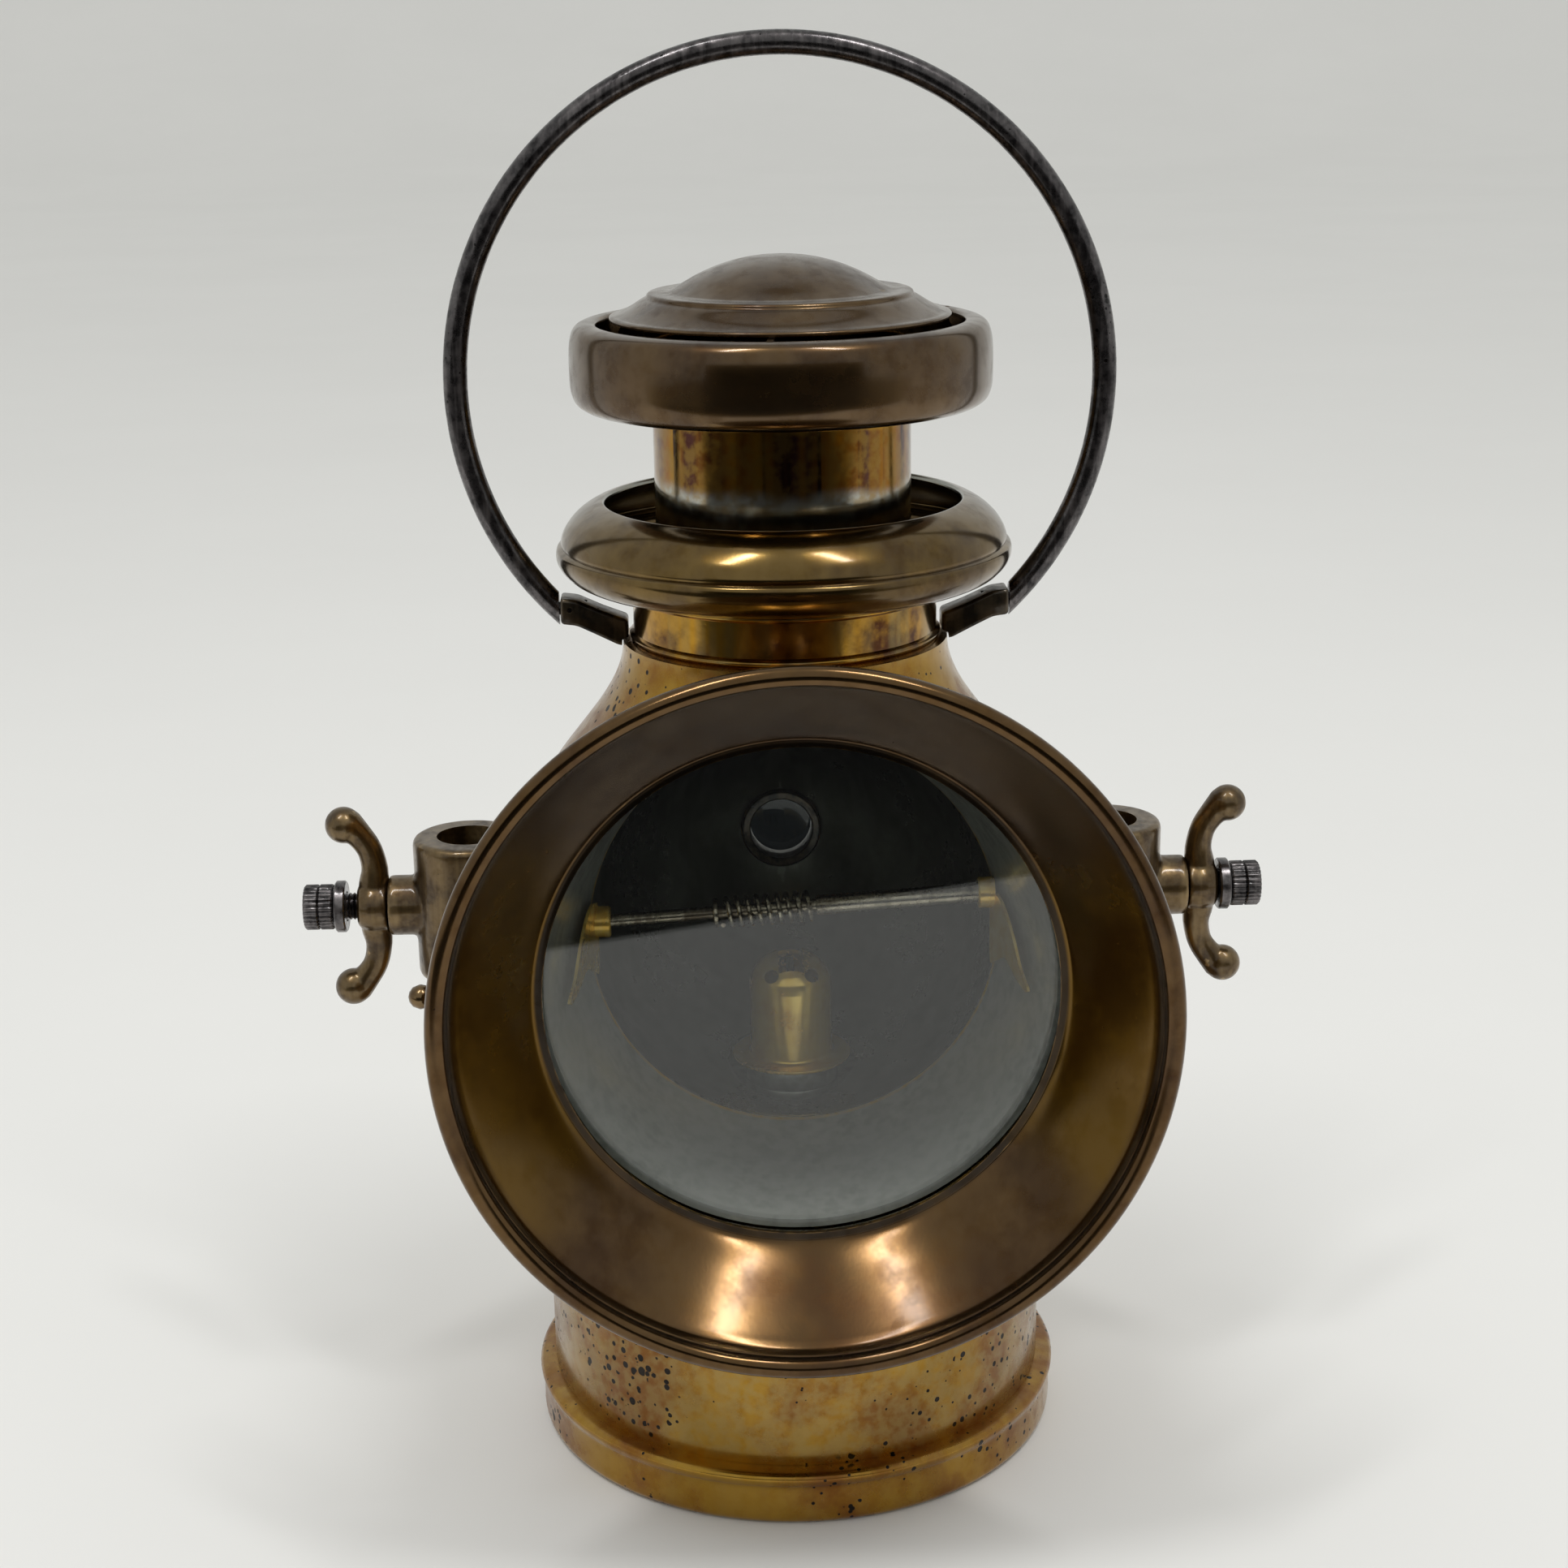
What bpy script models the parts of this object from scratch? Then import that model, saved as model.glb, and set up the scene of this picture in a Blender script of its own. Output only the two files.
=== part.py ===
# Paraffin car lamp: a brass side lamp with a flared hinged bezel, a lift-off font and burner,
# a ventilated cap and chimney, a steel bail, and two clamped sockets for a forked bracket.
# Metres, +Z up. The lamp stands on z = 0 over the origin and looks along -Y.

import math

import bmesh
import bpy
from mathutils import Matrix, Vector

# General fits and sheet
TOUCH_GAP = 0.0003
SHEET = 0.0008
THIN_SHEET = 0.0006
OVERRUN = 0.003

# Roundness of turned pieces, in facets
LARGE_FACETS = 24
MEDIUM_FACETS = 16
SMALL_FACETS = 12
ARC_STEPS = 3
HOLE_TWIST = 5.0

# Base cup
FOOT_RADIUS = 0.0544
FOOT_ROUNDING = 0.0020
BEAD_RADIUS = 0.0550
BEAD_HEIGHT = 0.0100
BEAD_ROLL = 0.0015
CUP_COLLAR_HEIGHT = 0.0120

# Body cylinder, bell shoulder and neck
BODY_RADIUS = 0.0517
SHOULDER_START = 0.1300
SHOULDER_END = 0.1682
SHOULDER_TOP_RADIUS = 0.0322
SHOULDER_STEPS = 6
NECK_RADIUS = 0.0301
NECK_TOP = 0.1788
NECK_ROLL = 0.0007
NECK_COLLAR_TOP = 0.1745

# Cowl ring
COWL_LIP_RADIUS = 0.0354
COWL_TOP = 0.1958
COWL_RADIUS = 0.0448
COWL_WIDEST_HEIGHT = 0.1860
COWL_CREASE_RADIUS = 0.0440
COWL_CREASE_HEIGHT = 0.1842
COWL_FOOT_RADIUS = 0.0297
COWL_FLANK_SHARES = ((0.06, 1.0), (0.28, 0.84), (0.55, 0.56), (0.80, 0.31), (0.95, 0.13), (1.0, 0.0))
COWL_BELLY_STEPS = 4

# Chimney and its gallery plate
CHIMNEY_RADIUS = 0.0251
CHIMNEY_BOTTOM = 0.1660
CHIMNEY_TOP = 0.2265
GALLERY_HOLES = 8
GALLERY_HOLE_RADIUS = 0.0013
GALLERY_HOLE_FACETS = 6

# Cap
CAP_BAND_RADIUS = 0.0409
CAP_BAND_TOP = 0.2304
CAP_BAND_BOTTOM = 0.2142
CAP_BAND_LIP = 0.0388
CAP_BAND_FOOT = 0.0345
CAP_BAND_CORNER = 0.0034
CAP_BAND_SIDE_SHARES = ((0.35, 0.0), (0.75, 0.10), (1.0, 0.36), (1.0, 0.62))
CAP_DISC_RADIUS = 0.0329
CAP_DISC_HEIGHT = 0.2308
CAP_STEP_RADIUS = 0.0255
CAP_STEP_HEIGHT = 0.2348
CAP_DOME_RADIUS = 0.0215
CAP_DOME_BASE = 0.2359
CAP_STEP_LIP_SHARE = 0.3
CAP_SLOPE_SHARE = 0.42
CAP_APEX = 0.2426
CAP_LEG_ANGLES = (25.0, 145.0, 265.0)
CAP_LEG_BOTTOM = 0.2180
CAP_LEG_SHOULDER = 0.2244
CAP_LEG_NECK = 0.2276
CAP_LEG_THICKNESS = 0.0012

# Bail and its ears
BAIL_RADIUS = 0.0629
BAIL_CENTRE_HEIGHT = 0.2187
BAIL_WIRE_RADIUS = 0.00235
BAIL_PIVOT_HEIGHT = 0.1744
BAIL_END = 0.0446
BAIL_STEPS = 26
BAIL_BEND = 0.0050
BAIL_SPIGOT_RADIUS = 0.0013
BAIL_SPIGOT_LENGTH = 0.0048
EAR_END_HALF_HEIGHT = 0.0026
EAR_WIDTH = 0.0070
EAR_BLOCK_LENGTH = 0.0060
EAR_FOOT_HEIGHT = 0.1650
EAR_FOOT_LENGTH = 0.0022
EAR_SHANK_DROP = 0.0030

# Fork sockets
SOCKET_HEIGHT = 0.1132
SOCKET_CENTRE = 0.0649
SOCKET_RADIUS = 0.01135
SOCKET_HALF_LENGTH = 0.0146
SOCKET_ROUNDING = 0.0016
SOCKET_BORE_RADIUS = 0.00645
SOCKET_BOSS_RADIUS = 0.00615
SOCKET_BOSS_END = 0.0816
SADDLE_HALF_WIDTH = 0.0102
SADDLE_HALF_HEIGHT = 0.0118

# Clamp stud and what is on it
STUD_RADIUS = 0.0028
STUD_EYE_INNER = 0.0074
STUD_EYE_OUTER = 0.0087
STUD_EYE_HALF_HEIGHT = 0.0030
STUD_TRAVEL = 0.0020
STUD_SLACK = 0.0008
WING_HUB_RADIUS = 0.0054
WING_HUB_LENGTH = 0.0061
WING_HUB_OUTER_SHARE = 0.78
WING_HUB_INNER_SHARE = 0.90
WING_HUB_MIDDLE_SHARE = 0.50
WING_SPAN = 0.0174
WING_SWEEP = 0.0081
WING_ROOT_RADIUS = 0.0030
WING_WAIST_RADIUS = 0.0020
WING_BALL_RADIUS = 0.0038
WING_SWEEP_SHARES = (0.36, 0.32, 0.44, 0.72, 1.0)
WING_HEIGHT_SHARES = (0.22, 0.46, 0.70, 0.88, 1.0)
WASHER_RADIUS = 0.0053
WASHER_THICKNESS = 0.0022
END_NUT_RADIUS = 0.00465
END_NUT_LENGTH = 0.0060
END_NUT_RIDGES = 14
END_NUT_GROOVE_DEPTH = 0.0005

# Lens axis, door and drum
LENS_HEIGHT = 0.1149
DRUM_FRONT = 0.0552
DOOR_CLEARANCE = 0.0004
FRAME_BORE = 0.0511
FRAME_RADIUS = 0.0523
FRAME_REAR = 0.0524
FRAME_LIP_RADIUS = 0.0482
GLASS_RADIUS = 0.0508
GLASS_THICKNESS = 0.0026
GLASS_RING_WIRE = 0.0008
THROAT_RADIUS = 0.0473
THROAT_FLAT = 0.0014
RIM_RADIUS = 0.0669
RIM_DEPTH = 0.0196
RIM_ROLL = 0.0019
BEZEL_STEPS = 4
BEZEL_BELLY = 0.0012

# Inner cone and reflector bowl
CONE_FRONT_RADIUS = 0.0482
CONE_FLANGE = 0.0010
CONE_REAR_RADIUS = 0.0404
CONE_REAR = 0.0250
BOWL_RADIUS = 0.0425
BOWL_DEPTH = 0.0720
BOWL_STEPS = 6
BURNER_HOLE_RADIUS = 0.0131
FLUE_HOLE_RADIUS = 0.0190

# Rear port
PORT_HEIGHT = 0.1136
PORT_INNER_RADIUS = 0.0068
PORT_OUTER_RADIUS = 0.0086
PORT_FLANGE_RADIUS = 0.0106
PORT_FRONT = 0.0440
PORT_FLANGE_THICKNESS = 0.0012
JEWEL_EDGE = 0.0018
JEWEL_CROWN = 0.0014
JEWEL_CROWN_SHARE = 0.75

# Cross rod in the cone's rear end
ROD_HEIGHT = 0.1205
ROD_DEPTH = 0.0275
ROD_TILT = 3.0
ROD_PIN_RADIUS = 0.0013
ROD_TUBE_RADIUS = 0.00195
ROD_REACH = 0.0374
ROD_TUBE_START = 0.0042
ROD_PIN_OVERLAP = 0.0060
ROD_COLLAR_RADIUS = 0.0028
ROD_COLLAR_LENGTH = 0.0010
COIL_START = -0.0140
COIL_TURNS = 9
COIL_RADIUS = 0.0027
COIL_WIRE_RADIUS = 0.00048
COIL_POINTS_PER_TURN = 8
CLIP_CUP_RADIUS = 0.0031
CLIP_CUP_LENGTH = 0.0030
CLIP_PLATE_THICKNESS = 0.0007
CLIP_PLATE_HEIGHT = 0.1160
CLIP_PLATE_HALF_HEIGHT = 0.0072
CLIP_PLATE_LENGTH = 0.0200

# Door hinge and catch
HINGE_AXIS_X = 0.0575
HINGE_AXIS_DEPTH = 0.0490
HINGE_KNUCKLE_RADIUS = 0.0026
HINGE_PIN_RADIUS = 0.0012
HINGE_PIN_HEAD = 0.0022
HINGE_PIN_HEAD_HEIGHT = 0.0012
HINGE_HALF_HEIGHT = 0.0100
HINGE_CENTRE_HALF_HEIGHT = 0.0042
HINGE_LEAF_THICKNESS = 0.0010
HINGE_FIXED_LENGTH = 0.0120
CATCH_HALF_HEIGHT = 0.0045
CATCH_TONGUE_LENGTH = 0.0090
CATCH_BALL_RADIUS = 0.0023
CATCH_BALL_X = 0.0699
CATCH_STEM_RADIUS = 0.0012

# Font, burner and wick
TANK_RADIUS = 0.0470
TANK_TOP = 0.0662
TANK_ROUNDING = 0.0040
TANK_MOUTH_RADIUS = 0.0090
COLLAR_RADIUS = 0.0095
COLLAR_FLANGE_RADIUS = 0.0112
COLLAR_FLANGE_HEIGHT = 0.0012
COLLAR_TOP = 0.0783
COLLAR_THREAD_LENGTH = 0.0050
COLLAR_CROWN = 0.0016
DOME_FLANGE_RADIUS = 0.0123
DOME_RADIUS = 0.0085
DOME_SHOULDER = 0.0945
DOME_TOP = 0.1012
DOME_SLOT_WIDTH = 0.0052
DOME_SLOT_LENGTH = 0.0128
DOME_HOLE_RADIUS = 0.00145
DOME_HOLE_X = 0.0041
DOME_HOLE_HEIGHT = 0.0988
DOME_HOLE_TILT = 35.0
WICK_THICKNESS = 0.0014
WICK_WIDTH = 0.0080
WICK_BOTTOM = 0.0120
WICK_TOP = 0.0985
WICK_TUBE_WALL = 0.0006
WICK_TUBE_BOTTOM = 0.0772
WICK_TUBE_TOP = 0.0962
WINDER_HEIGHT = 0.0738
WINDER_SHAFT_RADIUS = 0.0008
WINDER_WHEEL_RADIUS = 0.0018
WINDER_WHEEL_LENGTH = 0.0012
WINDER_WHEEL_SPACING = 0.0040
WINDER_TEETH = 10
WINDER_KNOB_RADIUS = 0.0030
WINDER_KNOB_LENGTH = 0.0024
WINDER_KNOB_END = 0.0136

# Finishes: colour, roughness, metallic
FINISHES = {
    "golden_brass": ((0.58, 0.42, 0.14), 0.34, 1.0),
    "brown_brass": ((0.30, 0.19, 0.10), 0.38, 1.0),
    "tinted_brass": ((0.50, 0.36, 0.13), 0.28, 1.0),
    "cast_brass": ((0.36, 0.25, 0.13), 0.42, 1.0),
    "polished_brass": ((0.80, 0.62, 0.22), 0.22, 1.0),
    "dark_steel": ((0.07, 0.065, 0.065), 0.45, 1.0),
    "ear_metal": ((0.16, 0.13, 0.10), 0.50, 1.0),
    "tinned": ((0.42, 0.43, 0.41), 0.35, 1.0),
    "spring_steel": ((0.42, 0.38, 0.32), 0.35, 1.0),
    "clear_glass": ((0.90, 0.94, 0.92), 0.03, 0.0),
    "dark_glass": ((0.06, 0.07, 0.09), 0.08, 0.0),
    "cotton": ((0.78, 0.74, 0.64), 0.90, 0.0),
}

PART_COLLECTION = "paraffin_car_lamp"
CUTTER_COLLECTION = "cutters"

AXIS_FORWARD = (math.radians(90), 0, 0)
AXIS_BACK = (math.radians(-90), 0, 0)


def clear_scene():
    for item in list(bpy.data.objects):
        bpy.data.objects.remove(item, do_unlink=True)
    for name in (PART_COLLECTION, CUTTER_COLLECTION):
        group = bpy.data.collections.new(name)
        bpy.context.scene.collection.children.link(group)


def finish(name):
    if name in bpy.data.materials:
        return bpy.data.materials[name]
    colour, roughness, metallic = FINISHES[name]
    made = bpy.data.materials.new(name)
    made.use_nodes = True
    shader = made.node_tree.nodes["Principled BSDF"]
    shader.inputs["Base Color"].default_value = (*colour, 1)
    shader.inputs["Roughness"].default_value = roughness
    shader.inputs["Metallic"].default_value = metallic
    made.diffuse_color = (*colour, 1)
    return made


def place(item, finish_name):
    """Put an object among the parts, or among the cutters when it has no finish."""
    group = PART_COLLECTION if finish_name else CUTTER_COLLECTION
    for owner in list(item.users_collection):
        owner.objects.unlink(item)
    bpy.data.collections[group].objects.link(item)
    if finish_name:
        item.data.materials.clear()
        item.data.materials.append(finish(finish_name))
    else:
        item.hide_render = True
        item.display_type = "WIRE"
    return item


def mesh_object(name, mesh, finish_name, location, rotation):
    item = bpy.data.objects.new(name, mesh)
    bpy.context.scene.collection.objects.link(item)
    item.location = location
    item.rotation_euler = rotation
    return place(item, finish_name)


def arc(centre, radius, start, end, steps=ARC_STEPS):
    """Points of a circular arc in an outline; angles in degrees, 0 outward and 90 up."""
    points = []
    for step in range(steps + 1):
        angle = math.radians(start + (end - start) * step / steps)
        points.append((centre[0] + radius * math.cos(angle), centre[1] + radius * math.sin(angle)))
    return points


def turned(name, outline, finish_name, closed=True, wall=0, facets=LARGE_FACETS,
           location=(0, 0, 0), rotation=(0, 0, 0)):
    """Turn an outline of (radius, height) points about Z; an open one gets its wall inward."""
    mesh = bpy.data.meshes.new(name)
    count = len(outline)
    edges = [(i, i + 1) for i in range(count - 1)]
    if closed:
        edges.append((count - 1, 0))
    mesh.from_pydata([(radius, 0, height) for radius, height in outline], edges, [])
    item = mesh_object(name, mesh, finish_name, location, rotation)
    screw = item.modifiers.new("turn", "SCREW")
    screw.steps = facets
    screw.render_steps = facets
    screw.use_merge_vertices = True
    screw.merge_threshold = 0.00001
    if wall:
        solid = item.modifiers.new("wall", "SOLIDIFY")
        solid.thickness = wall
        solid.offset = -1
        solid.use_even_offset = True
    return item


def solid_turned(name, outline, finish_name, **options):
    """A turned solid whose outline starts and ends on the axis."""
    return turned(name, outline, finish_name, closed=False, **options)


def disc_outline(radius, bottom, top, rounding=0):
    """The half section of a plain cylinder, with rounded rims if asked."""
    if not rounding:
        return [(0, top), (radius, top), (radius, bottom), (0, bottom)]
    upper = arc((radius - rounding, top - rounding), rounding, 90, 0)
    lower = arc((radius - rounding, bottom + rounding), rounding, 0, -90)
    return [(0, top)] + upper + lower + [(0, bottom)]


def ring_outline(outer, inner, bottom, top):
    return [(outer, top), (outer, bottom), (inner, bottom), (inner, top)]


def star_outline(outer, inner, count):
    """Points on a circle that go out and in by turns, for ridges and teeth."""
    points = []
    for number in range(2 * count):
        radius = inner if number % 2 else outer
        angle = math.pi * number / count
        points.append((radius * math.cos(angle), radius * math.sin(angle)))
    return points


def rod_between(name, radius, start, end, finish_name, facets=SMALL_FACETS, twist=0):
    """A plain cylinder from one point to another, its facets turned by a twist in degrees."""
    line = Vector(end) - Vector(start)
    turn = line.to_track_quat("Z", "Y").to_matrix() @ Matrix.Rotation(math.radians(twist), 3, "Z")
    return solid_turned(name, disc_outline(radius, 0, line.length), finish_name, facets=facets,
                        location=start, rotation=turn.to_euler())


def hole(name, radius, start, end, facets=SMALL_FACETS):
    """A cutter for a round hole, twisted so that its edges miss those of the piece."""
    return rod_between(name, radius, start, end, None, facets, HOLE_TWIST)


def box(name, low, high, finish_name):
    bpy.ops.mesh.primitive_cube_add(size=1)
    item = bpy.context.object
    item.name = name
    item.data.name = name
    size = [high[i] - low[i] for i in range(3)]
    middle = [(high[i] + low[i]) / 2 for i in range(3)]
    item.data.transform(Matrix.Diagonal((*size, 1)))
    item.location = middle
    return place(item, finish_name)


def ball(name, radius, centre, finish_name):
    bpy.ops.mesh.primitive_uv_sphere_add(segments=10, ring_count=6, radius=radius, location=centre)
    item = bpy.context.object
    item.name = name
    item.data.name = name
    return place(item, finish_name)


def plate(name, outline, thickness, finish_name, location=(0, 0, 0), rotation=(0, 0, 0)):
    """A flat outline filled and extruded by half its thickness to both sides."""
    curve = bpy.data.curves.new(name, "CURVE")
    curve.dimensions = "2D"
    curve.fill_mode = "BOTH"
    curve.extrude = thickness / 2
    spline = curve.splines.new("POLY")
    spline.points.add(len(outline) - 1)
    for point, (across, along) in zip(spline.points, outline):
        point.co = (across, along, 0, 1)
    spline.use_cyclic_u = True
    return curve_to_mesh(name, curve, finish_name, location, rotation)


def tube(name, points, radii, finish_name, resolution, location=(0, 0, 0), rotation=(0, 0, 0)):
    """A tube along points with a radius at each."""
    curve = bpy.data.curves.new(name, "CURVE")
    curve.dimensions = "3D"
    curve.bevel_depth = 1
    curve.bevel_resolution = resolution
    curve.use_fill_caps = True
    spline = curve.splines.new("POLY")
    spline.points.add(len(points) - 1)
    for point, place_at, radius in zip(spline.points, points, radii):
        point.co = (*place_at, 1)
        point.radius = radius
    return curve_to_mesh(name, curve, finish_name, location, rotation)


def curve_to_mesh(name, curve, finish_name, location, rotation):
    source = bpy.data.objects.new(name + "_curve", curve)
    bpy.context.scene.collection.objects.link(source)
    view = bpy.context.evaluated_depsgraph_get()
    mesh = bpy.data.meshes.new_from_object(source.evaluated_get(view))
    mesh.name = name
    bpy.data.objects.remove(source, do_unlink=True)
    work = bmesh.new()
    work.from_mesh(mesh)
    bmesh.ops.remove_doubles(work, verts=work.verts, dist=0.000001)
    bmesh.ops.recalc_face_normals(work, faces=work.faces)
    work.to_mesh(mesh)
    work.free()
    return mesh_object(name, mesh, finish_name, location, rotation)


def combine(item, other, operation):
    step = item.modifiers.new(operation.lower(), "BOOLEAN")
    step.operation = operation
    step.object = other
    step.solver = "EXACT"


def cut(item, *others):
    for other in others:
        combine(item, other, "DIFFERENCE")


def join(item, *others):
    for other in others:
        combine(item, other, "UNION")


def smooth_parts():
    """Round faces shade smooth, edges over 35 degrees stay sharp."""
    for item in bpy.data.collections[PART_COLLECTION].objects:
        for modifier in item.modifiers:
            if modifier.type == "SCREW":
                modifier.use_smooth_shade = True
        item.data.shade_smooth()
        item.data.set_sharp_from_angle(angle=math.radians(35))


# Places worked out from the sizes above

BEAD_TOP = BEAD_HEIGHT + BEAD_ROLL
BODY_FOOT = BEAD_TOP + TOUCH_GAP
BODY_INNER = BODY_RADIUS - SHEET
NECK_BOTTOM = SHOULDER_END + TOUCH_GAP
COWL_FOOT_HEIGHT = NECK_TOP + TOUCH_GAP
NECK_COLLAR_RADIUS = NECK_RADIUS - SHEET - TOUCH_GAP
DRUM_RADIUS = FRAME_BORE - DOOR_CLEARANCE
RING_REAR = DRUM_FRONT + TOUCH_GAP
GLASS_REAR = RING_REAR + 2 * GLASS_RING_WIRE + TOUCH_GAP
LIP_REAR = GLASS_REAR + GLASS_THICKNESS + TOUCH_GAP
LIP_FRONT = LIP_REAR + SHEET
THROAT_DEPTH = LIP_FRONT + TOUCH_GAP
BOWL_FRONT = CONE_REAR - TOUCH_GAP
STUD_BORE_RADIUS = STUD_RADIUS + TOUCH_GAP
WASHER_START = SOCKET_BOSS_END + TOUCH_GAP + WING_HUB_LENGTH + TOUCH_GAP
END_NUT_START = WASHER_START + WASHER_THICKNESS + TOUCH_GAP
STUD_END = END_NUT_START + END_NUT_LENGTH
COLLAR_BASE = TANK_TOP + TOUCH_GAP
DOME_BASE = COLLAR_TOP + TOUCH_GAP
SHAFT_X = WICK_THICKNESS / 2 + TOUCH_GAP + WINDER_WHEEL_RADIUS


def lens_point(depth):
    return (0, -depth, LENS_HEIGHT)


def body_outline(growth=0):
    """Outer side of the body, top to bottom; growth moves it outward."""
    neck = [(NECK_COLLAR_RADIUS + growth, NECK_COLLAR_TOP)]
    neck.append((NECK_COLLAR_RADIUS + growth, SHOULDER_END + growth))
    shoulder = []
    for step in range(SHOULDER_STEPS + 1):
        share = step / SHOULDER_STEPS
        height = SHOULDER_END + (SHOULDER_START - SHOULDER_END) * share
        swell = 0.5 - 0.5 * math.cos(math.pi * share)
        radius = SHOULDER_TOP_RADIUS + (BODY_RADIUS - SHOULDER_TOP_RADIUS) * swell
        shoulder.append((radius + growth, height))
    return neck + shoulder + [(BODY_RADIUS + growth, BODY_FOOT)]


def body_clearance():
    """A solid of the body's outside, grown by the touch gap, for pieces that seat on it."""
    outline = body_outline(TOUCH_GAP)
    top = (0, outline[0][1])
    bottom = (0, outline[-1][1])
    return solid_turned("body_clearance", [top] + outline + [bottom], None)


def make_body():
    shell = turned("body_shell", body_outline(), "golden_brass", closed=False, wall=SHEET)
    mouth = solid_turned("body_mouth_cut", disc_outline(DRUM_RADIUS - SHEET, 0, BODY_RADIUS + OVERRUN),
                         None, location=lens_point(0), rotation=AXIS_FORWARD)
    port = solid_turned("body_port_cut",
                        disc_outline(PORT_OUTER_RADIUS + TOUCH_GAP, 0, BODY_RADIUS + OVERRUN),
                        None, facets=MEDIUM_FACETS, location=(0, 0, PORT_HEIGHT), rotation=AXIS_BACK)
    cut(shell, mouth, port)


def make_neck_and_cowl():
    bulge = NECK_RADIUS + NECK_ROLL
    inner = NECK_RADIUS - SHEET
    band = [(NECK_RADIUS, NECK_TOP), (bulge, NECK_TOP - NECK_ROLL), (NECK_RADIUS, NECK_TOP - 2 * NECK_ROLL),
            (NECK_RADIUS, NECK_BOTTOM + 2 * NECK_ROLL), (bulge, NECK_BOTTOM + NECK_ROLL),
            (NECK_RADIUS, NECK_BOTTOM), (inner, NECK_BOTTOM), (inner, NECK_TOP)]
    turned("neck_band", band, "tinted_brass")

    rise = COWL_TOP - COWL_WIDEST_HEIGHT
    reach = COWL_RADIUS - COWL_LIP_RADIUS
    upper = [(COWL_LIP_RADIUS, COWL_TOP - SHEET)]
    for across, up in COWL_FLANK_SHARES:
        upper.append((COWL_LIP_RADIUS + reach * across, COWL_WIDEST_HEIGHT + rise * up))
    drop = COWL_CREASE_HEIGHT - COWL_FOOT_HEIGHT
    tuck = COWL_CREASE_RADIUS - COWL_FOOT_RADIUS
    lower = [(COWL_CREASE_RADIUS, COWL_CREASE_HEIGHT)]
    for step in range(1, COWL_BELLY_STEPS + 1):
        angle = math.radians(90 * step / COWL_BELLY_STEPS)
        lower.append((COWL_FOOT_RADIUS + tuck * math.cos(angle), COWL_CREASE_HEIGHT - drop * math.sin(angle)))
    turned("cowl_ring", upper + lower, "brown_brass", closed=False, wall=SHEET)


def make_chimney():
    pipe = ring_outline(CHIMNEY_RADIUS, CHIMNEY_RADIUS - THIN_SHEET, CHIMNEY_BOTTOM, CHIMNEY_TOP)
    turned("chimney_tube", pipe, "tinted_brass")
    outer = NECK_COLLAR_RADIUS
    inner = CHIMNEY_RADIUS + TOUCH_GAP
    bottom = NECK_COLLAR_TOP + TOUCH_GAP
    gallery = turned("flue_gallery", ring_outline(outer, inner, bottom, bottom + SHEET), "tinned")
    middle = (outer + inner) / 2
    for number in range(GALLERY_HOLES):
        angle = 2 * math.pi * number / GALLERY_HOLES
        x, y = middle * math.cos(angle), middle * math.sin(angle)
        cut(gallery, hole(f"gallery_cut_{number}", GALLERY_HOLE_RADIUS, (x, y, bottom - OVERRUN),
                          (x, y, bottom + OVERRUN), facets=GALLERY_HOLE_FACETS))


def make_cap():
    height = CAP_BAND_TOP - CAP_BAND_BOTTOM
    lip_drop = CAP_BAND_RADIUS - CAP_BAND_LIP
    side = [(CAP_BAND_LIP, CAP_BAND_TOP - SHEET)]
    for across, down in CAP_BAND_SIDE_SHARES:
        side.append((CAP_BAND_LIP + lip_drop * across, CAP_BAND_TOP - height * down))
    corner = (CAP_BAND_RADIUS - CAP_BAND_CORNER, CAP_BAND_BOTTOM + CAP_BAND_CORNER)
    foot = arc(corner, CAP_BAND_CORNER, 0, -90)
    turned("cap_band", side + foot + [(CAP_BAND_FOOT, CAP_BAND_BOTTOM)], "brown_brass",
           closed=False, wall=SHEET)

    dome_height = CAP_APEX - CAP_DOME_BASE
    dome_radius = (CAP_DOME_RADIUS ** 2 + dome_height ** 2) / (2 * dome_height)
    spread = math.degrees(math.asin(CAP_DOME_RADIUS / dome_radius))
    dome = arc((0, CAP_APEX - dome_radius), dome_radius, 90, 90 - spread, 4)
    dome[0] = (0, CAP_APEX)
    step_drop = CAP_DOME_BASE - CAP_STEP_HEIGHT
    flare = [(CAP_STEP_RADIUS, CAP_DOME_BASE - step_drop * CAP_STEP_LIP_SHARE),
             (CAP_STEP_RADIUS + step_drop, CAP_STEP_HEIGHT)]
    disc_fall = CAP_STEP_HEIGHT - CAP_DISC_HEIGHT
    slope = [((CAP_STEP_RADIUS + CAP_DISC_RADIUS) / 2, CAP_DISC_HEIGHT + disc_fall * CAP_SLOPE_SHARE)]
    edge = [(CAP_DISC_RADIUS, CAP_DISC_HEIGHT + SHEET), (CAP_DISC_RADIUS, CAP_DISC_HEIGHT)]
    turned("cap_top", dome + flare + slope + edge, "brown_brass", closed=False, wall=SHEET)

    flat = math.cos(math.pi / LARGE_FACETS)
    inner = CHIMNEY_RADIUS + TOUCH_GAP
    reach = (CAP_BAND_RADIUS - SHEET) * flat - TOUCH_GAP
    lip_reach = (CAP_BAND_LIP - SHEET) * flat - TOUCH_GAP
    top = CAP_DISC_HEIGHT - TOUCH_GAP
    side = [(inner, CAP_LEG_BOTTOM), (reach, CAP_LEG_BOTTOM), (reach, CAP_LEG_SHOULDER),
            (lip_reach, CAP_LEG_NECK), (lip_reach, top), (inner, top)]
    for number, angle in enumerate(CAP_LEG_ANGLES, 1):
        plate(f"cap_leg_{number}", side, CAP_LEG_THICKNESS, "brown_brass",
              rotation=(math.radians(90), 0, math.radians(angle)))


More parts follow.
